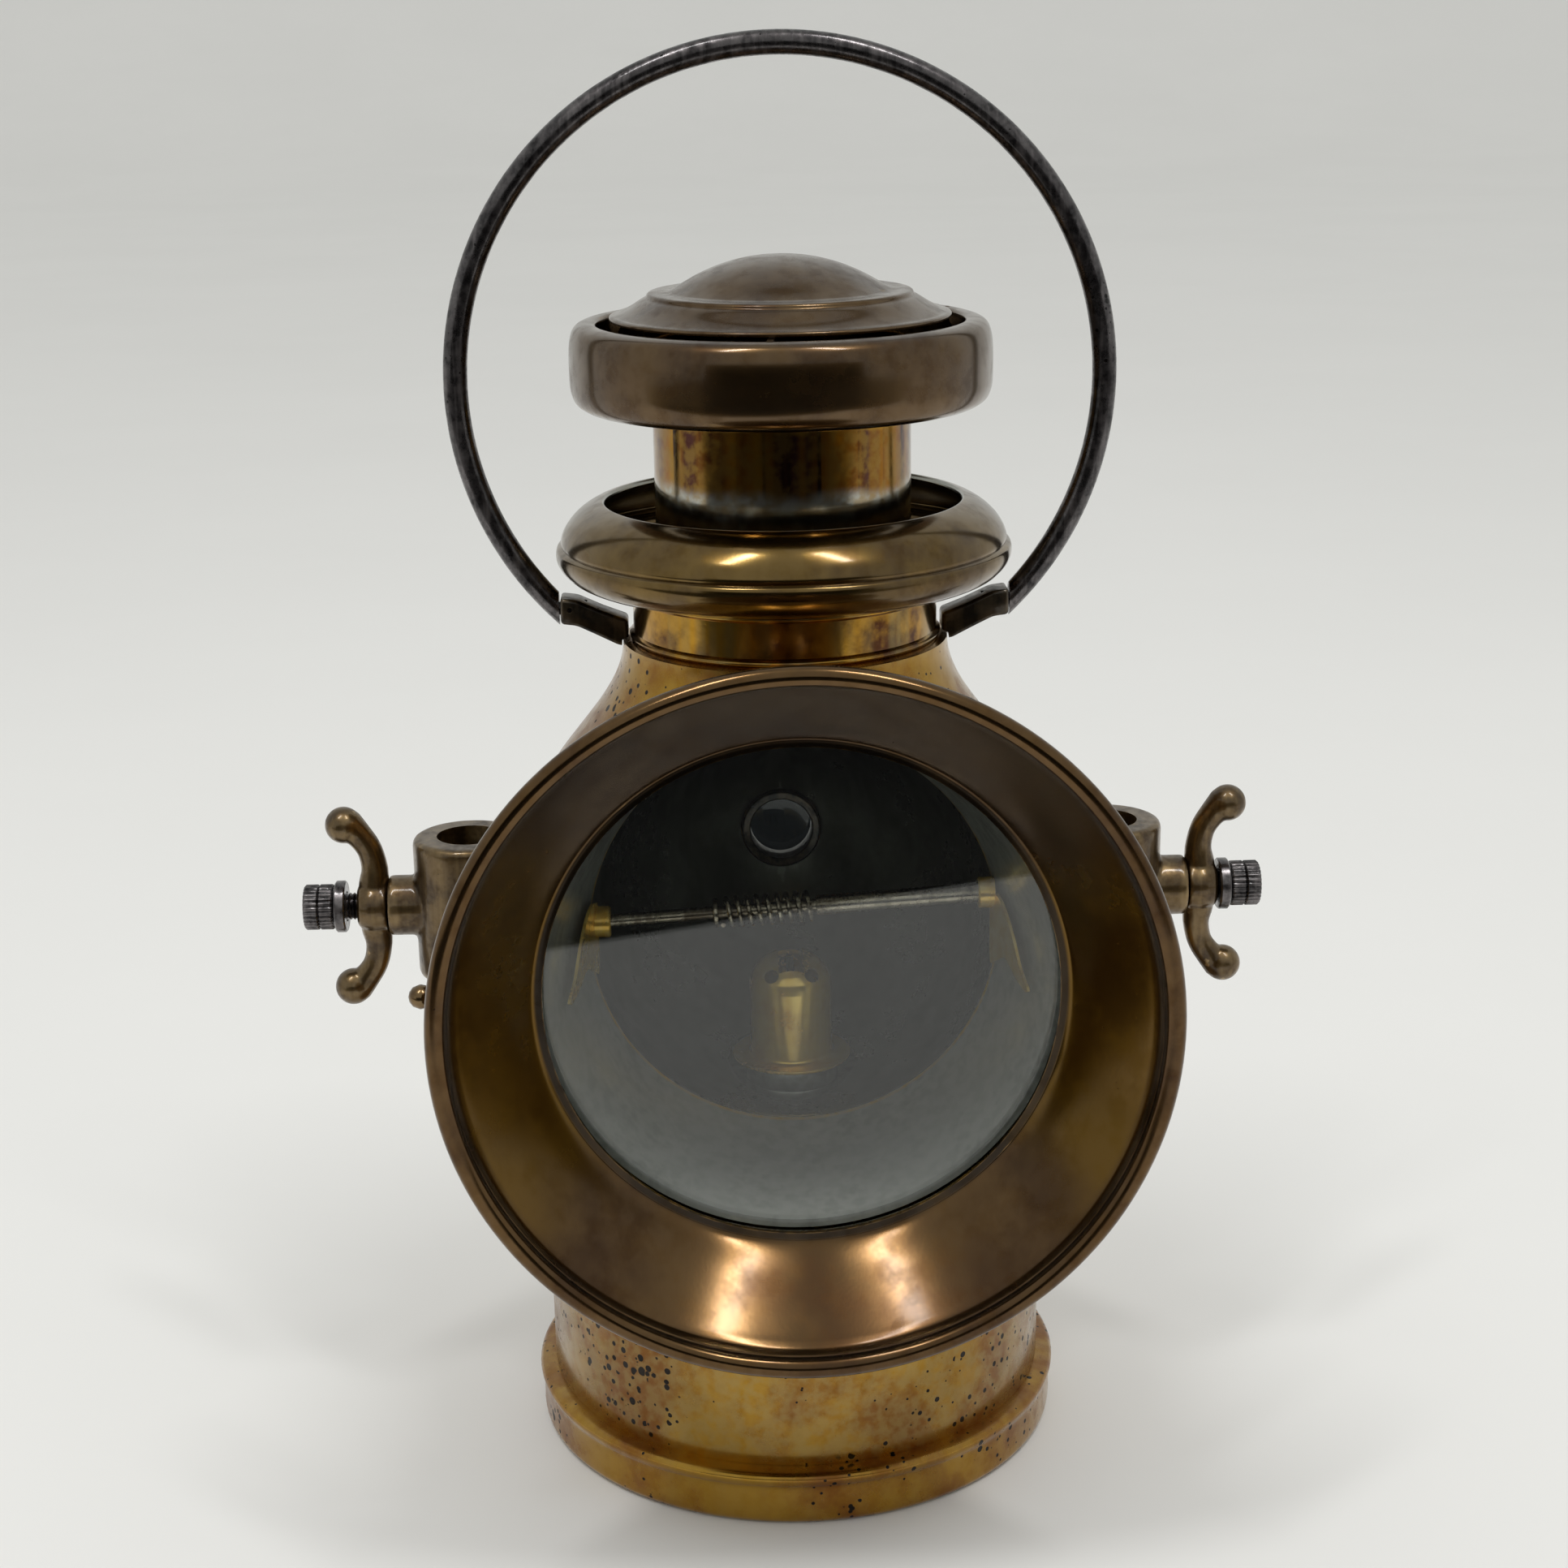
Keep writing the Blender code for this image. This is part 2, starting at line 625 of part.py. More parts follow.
def bail_path():
    """Centre line of the bail relative to its pivot: a level end, a short bend, and the big circle."""
    centre = BAIL_CENTRE_HEIGHT - BAIL_PIVOT_HEIGHT
    start = math.asin((BAIL_BEND - centre) / BAIL_RADIUS)
    bend_end = (BAIL_RADIUS * math.cos(start), BAIL_BEND)
    slope = (math.sin(start), -math.cos(start))
    corner_x = bend_end[0] + slope[0] * BAIL_BEND / slope[1]
    bend = []
    for step in range(5):
        t = step / 5
        x = (1 - t) ** 2 * BAIL_END + 2 * t * (1 - t) * corner_x + t * t * bend_end[0]
        bend.append((x, t * t * bend_end[1]))
    half = []
    for step in range(BAIL_STEPS // 2 + 1):
        angle = start + (math.pi / 2 - start) * step / (BAIL_STEPS // 2)
        half.append((BAIL_RADIUS * math.cos(angle), centre + BAIL_RADIUS * math.sin(angle)))
    right = bend + half
    left = [(-x, z) for x, z in reversed(right[:-1])]
    return [(x, 0, z) for x, z in right + left]


def make_bail():
    points = bail_path()
    handle = tube("bail_handle", points, [BAIL_WIRE_RADIUS] * len(points), "dark_steel", 2,
                  location=(0, 0, BAIL_PIVOT_HEIGHT))
    for side in (-1, 1):
        join(handle, rod_between(f"bail_spigot_{side}", BAIL_SPIGOT_RADIUS,
                                 (side * (BAIL_END + BAIL_WIRE_RADIUS), 0, BAIL_PIVOT_HEIGHT),
                                 (side * (BAIL_END - BAIL_SPIGOT_LENGTH), 0, BAIL_PIVOT_HEIGHT), None))


def make_bail_ears(clearance):
    end = BAIL_END - TOUCH_GAP
    block = end - EAR_BLOCK_LENGTH
    top = BAIL_PIVOT_HEIGHT + EAR_END_HALF_HEIGHT
    bottom = BAIL_PIVOT_HEIGHT - EAR_END_HALF_HEIGHT
    inner = NECK_RADIUS + NECK_ROLL + TOUCH_GAP
    foot = SHOULDER_TOP_RADIUS + EAR_FOOT_LENGTH
    outline = [(end, top), (block, top), (inner, top - EAR_SHANK_DROP), (inner, EAR_FOOT_HEIGHT),
               (foot, EAR_FOOT_HEIGHT), (block, bottom), (end, bottom)]
    for word, side in (("left", -1), ("right", 1)):
        flipped = [(side * x, z) for x, z in outline]
        ear = plate(f"{word}_bail_ear", flipped, EAR_WIDTH, "ear_metal", rotation=AXIS_FORWARD)
        spigot_hole = hole(f"{word}_ear_cut", BAIL_SPIGOT_RADIUS + TOUCH_GAP,
                           (side * (end - BAIL_SPIGOT_LENGTH - TOUCH_GAP), 0, BAIL_PIVOT_HEIGHT),
                           (side * (end + OVERRUN), 0, BAIL_PIVOT_HEIGHT))
        cut(ear, clearance, spigot_hole)


def stud_turn(side):
    """Rotation that sends a turned piece's +Z outward along X."""
    return (0, side * math.radians(90), 0)


def eye_shift(side):
    """How far the stud stands out at rest: the right is slack, the left is drawn up tight."""
    return -STUD_SLACK if side > 0 else STUD_TRAVEL - STUD_SLACK


def make_fork_socket(word, side, clearance):
    centre = (side * SOCKET_CENTRE, 0, SOCKET_HEIGHT)
    barrel = disc_outline(SOCKET_RADIUS, -SOCKET_HALF_LENGTH, SOCKET_HALF_LENGTH, SOCKET_ROUNDING)
    socket = solid_turned(f"{word}_fork_socket", barrel, "cast_brass", facets=MEDIUM_FACETS, location=centre)
    boss_end = (side * SOCKET_BOSS_END, 0, SOCKET_HEIGHT)
    boss = rod_between(f"{word}_boss", SOCKET_BOSS_RADIUS, centre, boss_end, None)
    near = side * (BODY_RADIUS - OVERRUN)
    far = side * SOCKET_CENTRE
    saddle = box(f"{word}_saddle",
                 (min(near, far), -SADDLE_HALF_WIDTH, SOCKET_HEIGHT - SADDLE_HALF_HEIGHT),
                 (max(near, far), SADDLE_HALF_WIDTH, SOCKET_HEIGHT + SADDLE_HALF_HEIGHT), None)
    join(socket, boss, saddle)
    reach = SOCKET_HALF_LENGTH + OVERRUN
    bore = solid_turned(f"{word}_bore_cut", disc_outline(SOCKET_BORE_RADIUS, -reach, reach), None,
                        facets=MEDIUM_FACETS, location=centre, rotation=(0, 0, math.radians(HOLE_TWIST)))
    stud_hole = hole(f"{word}_stud_cut", STUD_BORE_RADIUS, centre,
                            (side * (SOCKET_BOSS_END + OVERRUN), 0, SOCKET_HEIGHT))
    half = STUD_EYE_HALF_HEIGHT + TOUCH_GAP
    wide = STUD_EYE_OUTER + TOUCH_GAP
    outer_end = side * (SOCKET_CENTRE + STUD_TRAVEL - STUD_SLACK)
    room_outline = disc_outline(wide + TOUCH_GAP, -half - TOUCH_GAP, half + TOUCH_GAP)
    eye_room = solid_turned(f"{word}_eye_cut", room_outline, None, facets=MEDIUM_FACETS,
                            location=(outer_end, 0, SOCKET_HEIGHT), rotation=(0, 0, math.radians(HOLE_TWIST)))
    slot_start = side * (BODY_RADIUS - OVERRUN)
    slot = box(f"{word}_slot_cut", (min(slot_start, outer_end), -wide, SOCKET_HEIGHT - half),
               (max(slot_start, outer_end), wide, SOCKET_HEIGHT + half), None)
    cut(socket, bore, stud_hole, eye_room, slot, clearance)


def make_clamp(word, side):
    shift = eye_shift(side)
    centre = (side * (SOCKET_CENTRE + shift), 0, SOCKET_HEIGHT)
    stand_out = shift + STUD_SLACK
    half = STUD_EYE_HALF_HEIGHT
    eye = ring_outline(STUD_EYE_OUTER, STUD_EYE_INNER, -half, half)
    stud = turned(f"{word}_clamp_stud", eye, "dark_steel", facets=MEDIUM_FACETS, location=centre)
    middle_of_wall = (STUD_EYE_OUTER + STUD_EYE_INNER) / 2
    shank = rod_between(f"{word}_shank", STUD_RADIUS,
                        (side * (SOCKET_CENTRE + shift + middle_of_wall), 0, SOCKET_HEIGHT),
                        (side * (STUD_END + stand_out), 0, SOCKET_HEIGHT), None)
    join(stud, shank)

    washer_at = (side * (WASHER_START + stand_out), 0, SOCKET_HEIGHT)
    turned(f"{word}_stop_washer", ring_outline(WASHER_RADIUS, STUD_BORE_RADIUS, 0, WASHER_THICKNESS),
           "dark_steel", facets=SMALL_FACETS, location=washer_at, rotation=stud_turn(side))
    make_end_nut(word, side, stand_out)
    make_wing_nut(word, side)


def make_end_nut(word, side, stand_out):
    outline = star_outline(END_NUT_RADIUS, END_NUT_RADIUS - END_NUT_GROOVE_DEPTH, END_NUT_RIDGES)
    middle = side * (END_NUT_START + stand_out + END_NUT_LENGTH / 2)
    nut = plate(f"{word}_end_nut", outline, END_NUT_LENGTH, "dark_steel",
                location=(middle, 0, SOCKET_HEIGHT), rotation=stud_turn(side))
    stud_hole = hole(f"{word}_nut_cut", STUD_BORE_RADIUS,
                     (side * (END_NUT_START - OVERRUN), 0, SOCKET_HEIGHT),
                     (side * (STUD_END + STUD_TRAVEL + OVERRUN), 0, SOCKET_HEIGHT))
    cut(nut, stud_hole)


def make_wing_nut(word, side):
    start = side * (SOCKET_BOSS_END + TOUCH_GAP)
    location = (start, 0, SOCKET_HEIGHT)
    hub_outline = [(STUD_BORE_RADIUS, WING_HUB_LENGTH),
                   (WING_HUB_RADIUS * WING_HUB_OUTER_SHARE, WING_HUB_LENGTH),
                   (WING_HUB_RADIUS, WING_HUB_LENGTH * WING_HUB_MIDDLE_SHARE),
                   (WING_HUB_RADIUS * WING_HUB_INNER_SHARE, 0), (STUD_BORE_RADIUS, 0)]
    nut = turned(f"{word}_wing_nut", hub_outline, "cast_brass", facets=SMALL_FACETS, location=location,
                 rotation=stud_turn(side))
    root = (WING_ROOT_RADIUS + WING_WAIST_RADIUS) / 2
    radii = (WING_ROOT_RADIUS, root, WING_WAIST_RADIUS, WING_WAIST_RADIUS, WING_WAIST_RADIUS)
    for up in (-1, 1):
        points = [(side * WING_SWEEP * across, 0, up * WING_SPAN * along)
                  for across, along in zip(WING_SWEEP_SHARES, WING_HEIGHT_SHARES)]
        arm = tube(f"{word}_wing_arm_{up}", points, radii, None, 2, location=location)
        tip = ball(f"{word}_wing_tip_{up}", WING_BALL_RADIUS,
                   (start + side * WING_SWEEP, 0, SOCKET_HEIGHT + up * WING_SPAN), None)
        join(nut, arm, tip)


def make_drum_and_cone(clearance):
    drum = turned("front_drum", ring_outline(DRUM_RADIUS, DRUM_RADIUS - SHEET, 0, DRUM_FRONT), "golden_brass",
                  location=lens_point(0), rotation=AXIS_FORWARD)
    cut(drum, clearance)

    front = DRUM_FRONT - TOUCH_GAP
    flange = CONE_FRONT_RADIUS + CONE_FLANGE
    cone = [(flange, front), (flange, front - SHEET), (CONE_FRONT_RADIUS, front - SHEET),
            (CONE_REAR_RADIUS, CONE_REAR), (CONE_REAR_RADIUS - THIN_SHEET, CONE_REAR),
            (CONE_FRONT_RADIUS - THIN_SHEET, front)]
    turned("inner_cone", cone, "tinned", location=lens_point(0), rotation=AXIS_FORWARD)


def make_reflector():
    outline = [(CONE_REAR_RADIUS - THIN_SHEET, BOWL_FRONT)]
    for step in range(BOWL_STEPS + 1):
        angle = math.radians(90 * step / BOWL_STEPS)
        outline.append((BOWL_RADIUS * math.cos(angle), BOWL_FRONT - BOWL_DEPTH * math.sin(angle)))
    outline[-1] = (0, outline[-1][1])
    bowl = turned("reflector_bowl", outline, "tinned", closed=False, wall=THIN_SHEET,
                  location=lens_point(0), rotation=AXIS_FORWARD)
    port = solid_turned("bowl_port_cut", disc_outline(PORT_OUTER_RADIUS + TOUCH_GAP, 0, BODY_RADIUS), None,
                        facets=MEDIUM_FACETS, location=(0, 0, PORT_HEIGHT), rotation=AXIS_BACK)
    burner = solid_turned("bowl_burner_cut", disc_outline(BURNER_HOLE_RADIUS, 0, LENS_HEIGHT), None,
                          facets=MEDIUM_FACETS)
    flue = solid_turned("bowl_flue_cut", disc_outline(FLUE_HOLE_RADIUS, LENS_HEIGHT, CHIMNEY_BOTTOM), None,
                        facets=MEDIUM_FACETS)
    cut(bowl, port, burner, flue)


def make_rear_port():
    location = (0, 0, PORT_HEIGHT)
    seat = BODY_RADIUS + TOUCH_GAP
    rear = seat + PORT_FLANGE_THICKNESS
    ring = [(PORT_FLANGE_RADIUS, rear), (PORT_FLANGE_RADIUS, seat), (PORT_OUTER_RADIUS, seat),
            (PORT_OUTER_RADIUS, PORT_FRONT), (PORT_INNER_RADIUS, PORT_FRONT), (PORT_INNER_RADIUS, rear)]
    turned("rear_port_ring", ring, "golden_brass", facets=MEDIUM_FACETS, location=location,
           rotation=AXIS_BACK)
    edge = PORT_INNER_RADIUS - TOUCH_GAP
    crown = BODY_RADIUS + JEWEL_CROWN
    inside = BODY_RADIUS - JEWEL_EDGE
    jewel = [(0, crown), (edge / 2, BODY_RADIUS + JEWEL_CROWN * JEWEL_CROWN_SHARE), (edge, BODY_RADIUS),
             (edge, inside), (0, inside)]
    solid_turned("rear_jewel", jewel, "dark_glass", facets=MEDIUM_FACETS, location=location,
                 rotation=AXIS_BACK)


def make_door():
    frame = [(FRAME_RADIUS, LIP_FRONT), (FRAME_RADIUS, FRAME_REAR), (FRAME_BORE, FRAME_REAR),
             (FRAME_BORE, LIP_REAR), (FRAME_LIP_RADIUS, LIP_REAR), (FRAME_LIP_RADIUS, LIP_FRONT)]
    turned("door_frame", frame, "brown_brass", location=lens_point(0), rotation=AXIS_FORWARD)

    rim_centre = (RIM_RADIUS - RIM_ROLL, THROAT_DEPTH + RIM_DEPTH)
    roll = arc(rim_centre, RIM_ROLL, 170, -70, 6)
    start_radius, start_depth = roll[-1]
    end_radius = THROAT_RADIUS + THROAT_FLAT
    flare = []
    for step in range(1, BEZEL_STEPS + 1):
        share = step / BEZEL_STEPS
        belly = BEZEL_BELLY * math.sin(math.pi * share)
        flare.append((start_radius + (end_radius - start_radius) * share + belly,
                      start_depth + (THROAT_DEPTH - start_depth) * share - belly))
    bezel = roll + flare + [(THROAT_RADIUS, THROAT_DEPTH)]
    turned("door_bezel", bezel, "brown_brass", closed=False, wall=SHEET, location=lens_point(0),
           rotation=AXIS_FORWARD)

    solid_turned("door_glass", disc_outline(GLASS_RADIUS, GLASS_REAR, GLASS_REAR + GLASS_THICKNESS),
                 "clear_glass", location=lens_point(0), rotation=AXIS_FORWARD)
    wire = (FRAME_BORE - TOUCH_GAP - GLASS_RING_WIRE, RING_REAR + GLASS_RING_WIRE)
    ring = arc(wire, GLASS_RING_WIRE, 45, -225, 3)
    turned("glass_ring", ring, "spring_steel", location=lens_point(0), rotation=AXIS_FORWARD)


def knuckle(name, low, high, finish_name):
    return rod_between(name, HINGE_KNUCKLE_RADIUS, (HINGE_AXIS_X, -HINGE_AXIS_DEPTH, LENS_HEIGHT + low),
                       (HINGE_AXIS_X, -HINGE_AXIS_DEPTH, LENS_HEIGHT + high), finish_name)


def make_hinge():
    split = HINGE_CENTRE_HALF_HEIGHT
    half = HINGE_HALF_HEIGHT
    pin_hole = hole("hinge_pin_cut", HINGE_PIN_RADIUS + TOUCH_GAP,
                           (HINGE_AXIS_X, -HINGE_AXIS_DEPTH, LENS_HEIGHT - half - OVERRUN),
                           (HINGE_AXIS_X, -HINGE_AXIS_DEPTH, LENS_HEIGHT + half + OVERRUN))
    fixed_front = FRAME_REAR - TOUCH_GAP
    drum_side = DRUM_RADIUS + TOUCH_GAP
    web_half = HINGE_LEAF_THICKNESS
    leaf_low = (drum_side - HINGE_KNUCKLE_RADIUS, -fixed_front, LENS_HEIGHT - half)
    leaf_high = (drum_side + HINGE_LEAF_THICKNESS, HINGE_FIXED_LENGTH - fixed_front, LENS_HEIGHT + half)
    fixed = box("fixed_hinge_leaf", leaf_low, leaf_high, "brown_brass")
    web = box("fixed_hinge_web", (drum_side, -HINGE_AXIS_DEPTH - web_half, LENS_HEIGHT - half + TOUCH_GAP),
              (HINGE_AXIS_X, -HINGE_AXIS_DEPTH + web_half, LENS_HEIGHT + half - TOUCH_GAP), None)
    barrel = knuckle("fixed_hinge_barrel", -half, half, None)
    join(fixed, web, barrel)
    gap = box("fixed_hinge_gap_cut",
              (drum_side + HINGE_LEAF_THICKNESS + TOUCH_GAP, -HINGE_AXIS_DEPTH - 2 * HINGE_KNUCKLE_RADIUS,
               LENS_HEIGHT - split - TOUCH_GAP),
              (HINGE_AXIS_X + 2 * HINGE_KNUCKLE_RADIUS, -HINGE_AXIS_DEPTH + 2 * HINGE_KNUCKLE_RADIUS,
               LENS_HEIGHT + split + TOUCH_GAP), None)
    drum_room = solid_turned("drum_clearance", disc_outline(drum_side, 0, DRUM_FRONT + OVERRUN), None,
                             location=lens_point(0), rotation=AXIS_FORWARD)
    cut(fixed, gap, pin_hole, drum_room)

    frame_side = FRAME_RADIUS + TOUCH_GAP
    arm_rear = HINGE_AXIS_DEPTH + HINGE_KNUCKLE_RADIUS + TOUCH_GAP
    arm_front = arm_rear + HINGE_LEAF_THICKNESS
    leaf_inner = frame_side - HINGE_KNUCKLE_RADIUS
    leaf_outer = frame_side + HINGE_LEAF_THICKNESS
    web_inner = HINGE_AXIS_X - web_half
    web_outer = HINGE_AXIS_X + web_half
    leaf_outline = [(leaf_inner, -LIP_FRONT), (leaf_outer, -LIP_FRONT), (leaf_outer, -arm_front),
                    (web_outer, -arm_front), (web_outer, -HINGE_AXIS_DEPTH), (web_inner, -HINGE_AXIS_DEPTH),
                    (web_inner, -arm_rear), (leaf_inner, -arm_rear)]
    moving = plate("door_hinge_leaf", leaf_outline, 2 * (split - TOUCH_GAP), "brown_brass",
                   location=(0, 0, LENS_HEIGHT))
    join(moving, knuckle("door_hinge_barrel", -split, split, None))
    frame_room = solid_turned("frame_clearance", disc_outline(frame_side, 0, LIP_FRONT + OVERRUN), None,
                              location=lens_point(0), rotation=AXIS_FORWARD)
    cut(moving, pin_hole, frame_room)

    seat = half + TOUCH_GAP
    head_top = seat + HINGE_PIN_HEAD_HEIGHT
    pin = [(0, head_top), (HINGE_PIN_HEAD, head_top), (HINGE_PIN_HEAD, seat), (HINGE_PIN_RADIUS, seat),
           (HINGE_PIN_RADIUS, -half), (0, -half)]
    solid_turned("hinge_pin", pin, "dark_steel", facets=SMALL_FACETS,
                 location=(HINGE_AXIS_X, -HINGE_AXIS_DEPTH, LENS_HEIGHT))
    return frame_room, drum_room


def make_catch(frame_room, drum_room):
    frame_side = FRAME_RADIUS + TOUCH_GAP
    outer = frame_side + SHEET
    height = CATCH_HALF_HEIGHT
    middle = (LIP_FRONT + FRAME_REAR) / 2
    tongue_end = (-DRUM_RADIUS + SHEET, -FRAME_REAR + CATCH_TONGUE_LENGTH, LENS_HEIGHT + height)
    catch = box("door_catch", (-outer, -LIP_FRONT, LENS_HEIGHT - height), tongue_end, "brown_brass")
    stem = rod_between("catch_stem", CATCH_STEM_RADIUS, (-outer + SHEET / 2, -middle, LENS_HEIGHT),
                       (-CATCH_BALL_X, -middle, LENS_HEIGHT), None)
    pull = ball("catch_ball", CATCH_BALL_RADIUS, (-CATCH_BALL_X, -middle, LENS_HEIGHT), None)
    cut(catch, frame_room, drum_room)
    join(catch, stem, pull)


def make_cross_rod():
    tilt = math.radians(ROD_TILT)
    location = (0, -ROD_DEPTH, ROD_HEIGHT)
    lay = (0, math.radians(90) - tilt, 0)
    collar_end = COIL_START - TOUCH_GAP - COIL_WIRE_RADIUS
    collar_start = collar_end - ROD_COLLAR_LENGTH
    tip = ROD_TUBE_START + ROD_PIN_OVERLAP
    pin = [(0, tip), (ROD_PIN_RADIUS, tip), (ROD_PIN_RADIUS, collar_end), (ROD_COLLAR_RADIUS, collar_end),
           (ROD_COLLAR_RADIUS, collar_start), (ROD_PIN_RADIUS, collar_start), (ROD_PIN_RADIUS, -ROD_REACH),
           (0, -ROD_REACH)]
    solid_turned("rod_pin", pin, "spring_steel", facets=SMALL_FACETS, location=location, rotation=lay)
    bore = ROD_PIN_RADIUS + TOUCH_GAP
    hole_end = tip + TOUCH_GAP
    body = [(0, ROD_REACH), (ROD_TUBE_RADIUS, ROD_REACH), (ROD_TUBE_RADIUS, ROD_TUBE_START),
            (bore, ROD_TUBE_START), (bore, hole_end), (0, hole_end)]
    solid_turned("rod_tube", body, "spring_steel", facets=SMALL_FACETS, location=location, rotation=lay)

    coil_end = ROD_TUBE_START - TOUCH_GAP - COIL_WIRE_RADIUS
    points = []
    total = COIL_TURNS * COIL_POINTS_PER_TURN
    for step in range(total + 1):
        angle = 2 * math.pi * step / COIL_POINTS_PER_TURN
        along = COIL_START + (coil_end - COIL_START) * step / total
        points.append((COIL_RADIUS * math.cos(angle), COIL_RADIUS * math.sin(angle), along))
    tube("rod_spring", points, [COIL_WIRE_RADIUS] * len(points), "spring_steel", 1,
         location=location, rotation=lay)
    print("least gap between the coil's turns, in metres:", round(coil_self_gap(points), 6))


def coil_self_gap(points):
    """Least distance between the surfaces of neighbouring turns, measured on the centre line's points."""
    least = min((Vector(points[i]) - Vector(points[j])).length
                for i in range(len(points))
                for j in range(i + COIL_POINTS_PER_TURN - 2, len(points)))
    return least - 2 * COIL_WIRE_RADIUS


def make_rod_clips():
    tilt = math.radians(ROD_TILT)
    taper = math.atan2(CONE_FRONT_RADIUS - CONE_REAR_RADIUS, DRUM_FRONT - CONE_REAR)
    flat = math.cos(math.pi / LARGE_FACETS)
    narrow = (CONE_REAR_RADIUS - THIN_SHEET) * flat
    wall = narrow + (ROD_DEPTH - CONE_REAR) * math.tan(taper) * flat
    for word, side in (("left", -1), ("right", 1)):
        height = ROD_HEIGHT + side * ROD_REACH * math.tan(tilt)
        drop = height - LENS_HEIGHT
        inner = math.sqrt(narrow ** 2 - (abs(drop) + CLIP_CUP_RADIUS) ** 2)
        far = inner - TOUCH_GAP
        mouth = (side * (far - CLIP_CUP_LENGTH), -ROD_DEPTH, height)
        cup = rod_between(f"{word}_rod_clip", CLIP_CUP_RADIUS, mouth, (side * far, -ROD_DEPTH, height),
                          "polished_brass")
        farthest = abs(CLIP_PLATE_HEIGHT - LENS_HEIGHT) + CLIP_PLATE_HALF_HEIGHT
        back = min(math.sqrt(wall ** 2 - farthest ** 2), far) - TOUCH_GAP
        strip = box(f"{word}_clip_plate",
                    (-CLIP_PLATE_THICKNESS, -CLIP_PLATE_LENGTH, -CLIP_PLATE_HALF_HEIGHT),
                    (0, CLIP_CUP_RADIUS, CLIP_PLATE_HALF_HEIGHT), None)
        strip.data.transform(Matrix.Translation(strip.location))
        strip.location = (side * back, -ROD_DEPTH, CLIP_PLATE_HEIGHT)
        if side < 0:
            strip.data.transform(Matrix.Diagonal((-1, 1, 1, 1)))
            strip.data.flip_normals()
        strip.rotation_euler = (0, 0, side * taper)
        hole_radius = (ROD_PIN_RADIUS if side < 0 else ROD_TUBE_RADIUS) + TOUCH_GAP
        rod_hole = hole(f"{word}_clip_cut", hole_radius, (0, -ROD_DEPTH, ROD_HEIGHT),
                           (side * (ROD_REACH * math.cos(tilt) + TOUCH_GAP), -ROD_DEPTH,
                            ROD_HEIGHT + side * (ROD_REACH * math.sin(tilt))))
        join(cup, strip)
        cut(cup, rod_hole)


def make_base_cup():
    collar = BODY_INNER - TOUCH_GAP
    bead_centre = (BEAD_RADIUS - BEAD_ROLL, BEAD_HEIGHT)
    outline = [(collar, BEAD_TOP + CUP_COLLAR_HEIGHT), (collar, BEAD_TOP)]
    outline += arc(bead_centre, BEAD_ROLL, 90, -60, 2)
    outline.append((FOOT_RADIUS, BEAD_HEIGHT - 2 * BEAD_ROLL))
    outline += arc((FOOT_RADIUS - FOOT_ROUNDING, FOOT_ROUNDING), FOOT_ROUNDING, 0, -90, 2)
    outline.append((0, 0))
    turned("base_cup", outline, "golden_brass", closed=False, wall=SHEET)


def make_font():
    bottom = SHEET + TOUCH_GAP
    outline = [(TANK_MOUTH_RADIUS, TANK_TOP)]
    outline += arc((TANK_RADIUS - TANK_ROUNDING, TANK_TOP - TANK_ROUNDING), TANK_ROUNDING, 90, 0, 2)
    outline += arc((TANK_RADIUS - TANK_ROUNDING, bottom + TANK_ROUNDING), TANK_ROUNDING, 0, -90, 2)
    outline.append((0, bottom))
    turned("font_tank", outline, "tinned", closed=False, wall=THIN_SHEET)


def wick_box(name, growth, low, high, finish_name):
    half_thickness = WICK_THICKNESS / 2 + growth
    half_width = WICK_WIDTH / 2 + growth
    return box(name, (-half_thickness, -half_width, low), (half_thickness, half_width, high), finish_name)


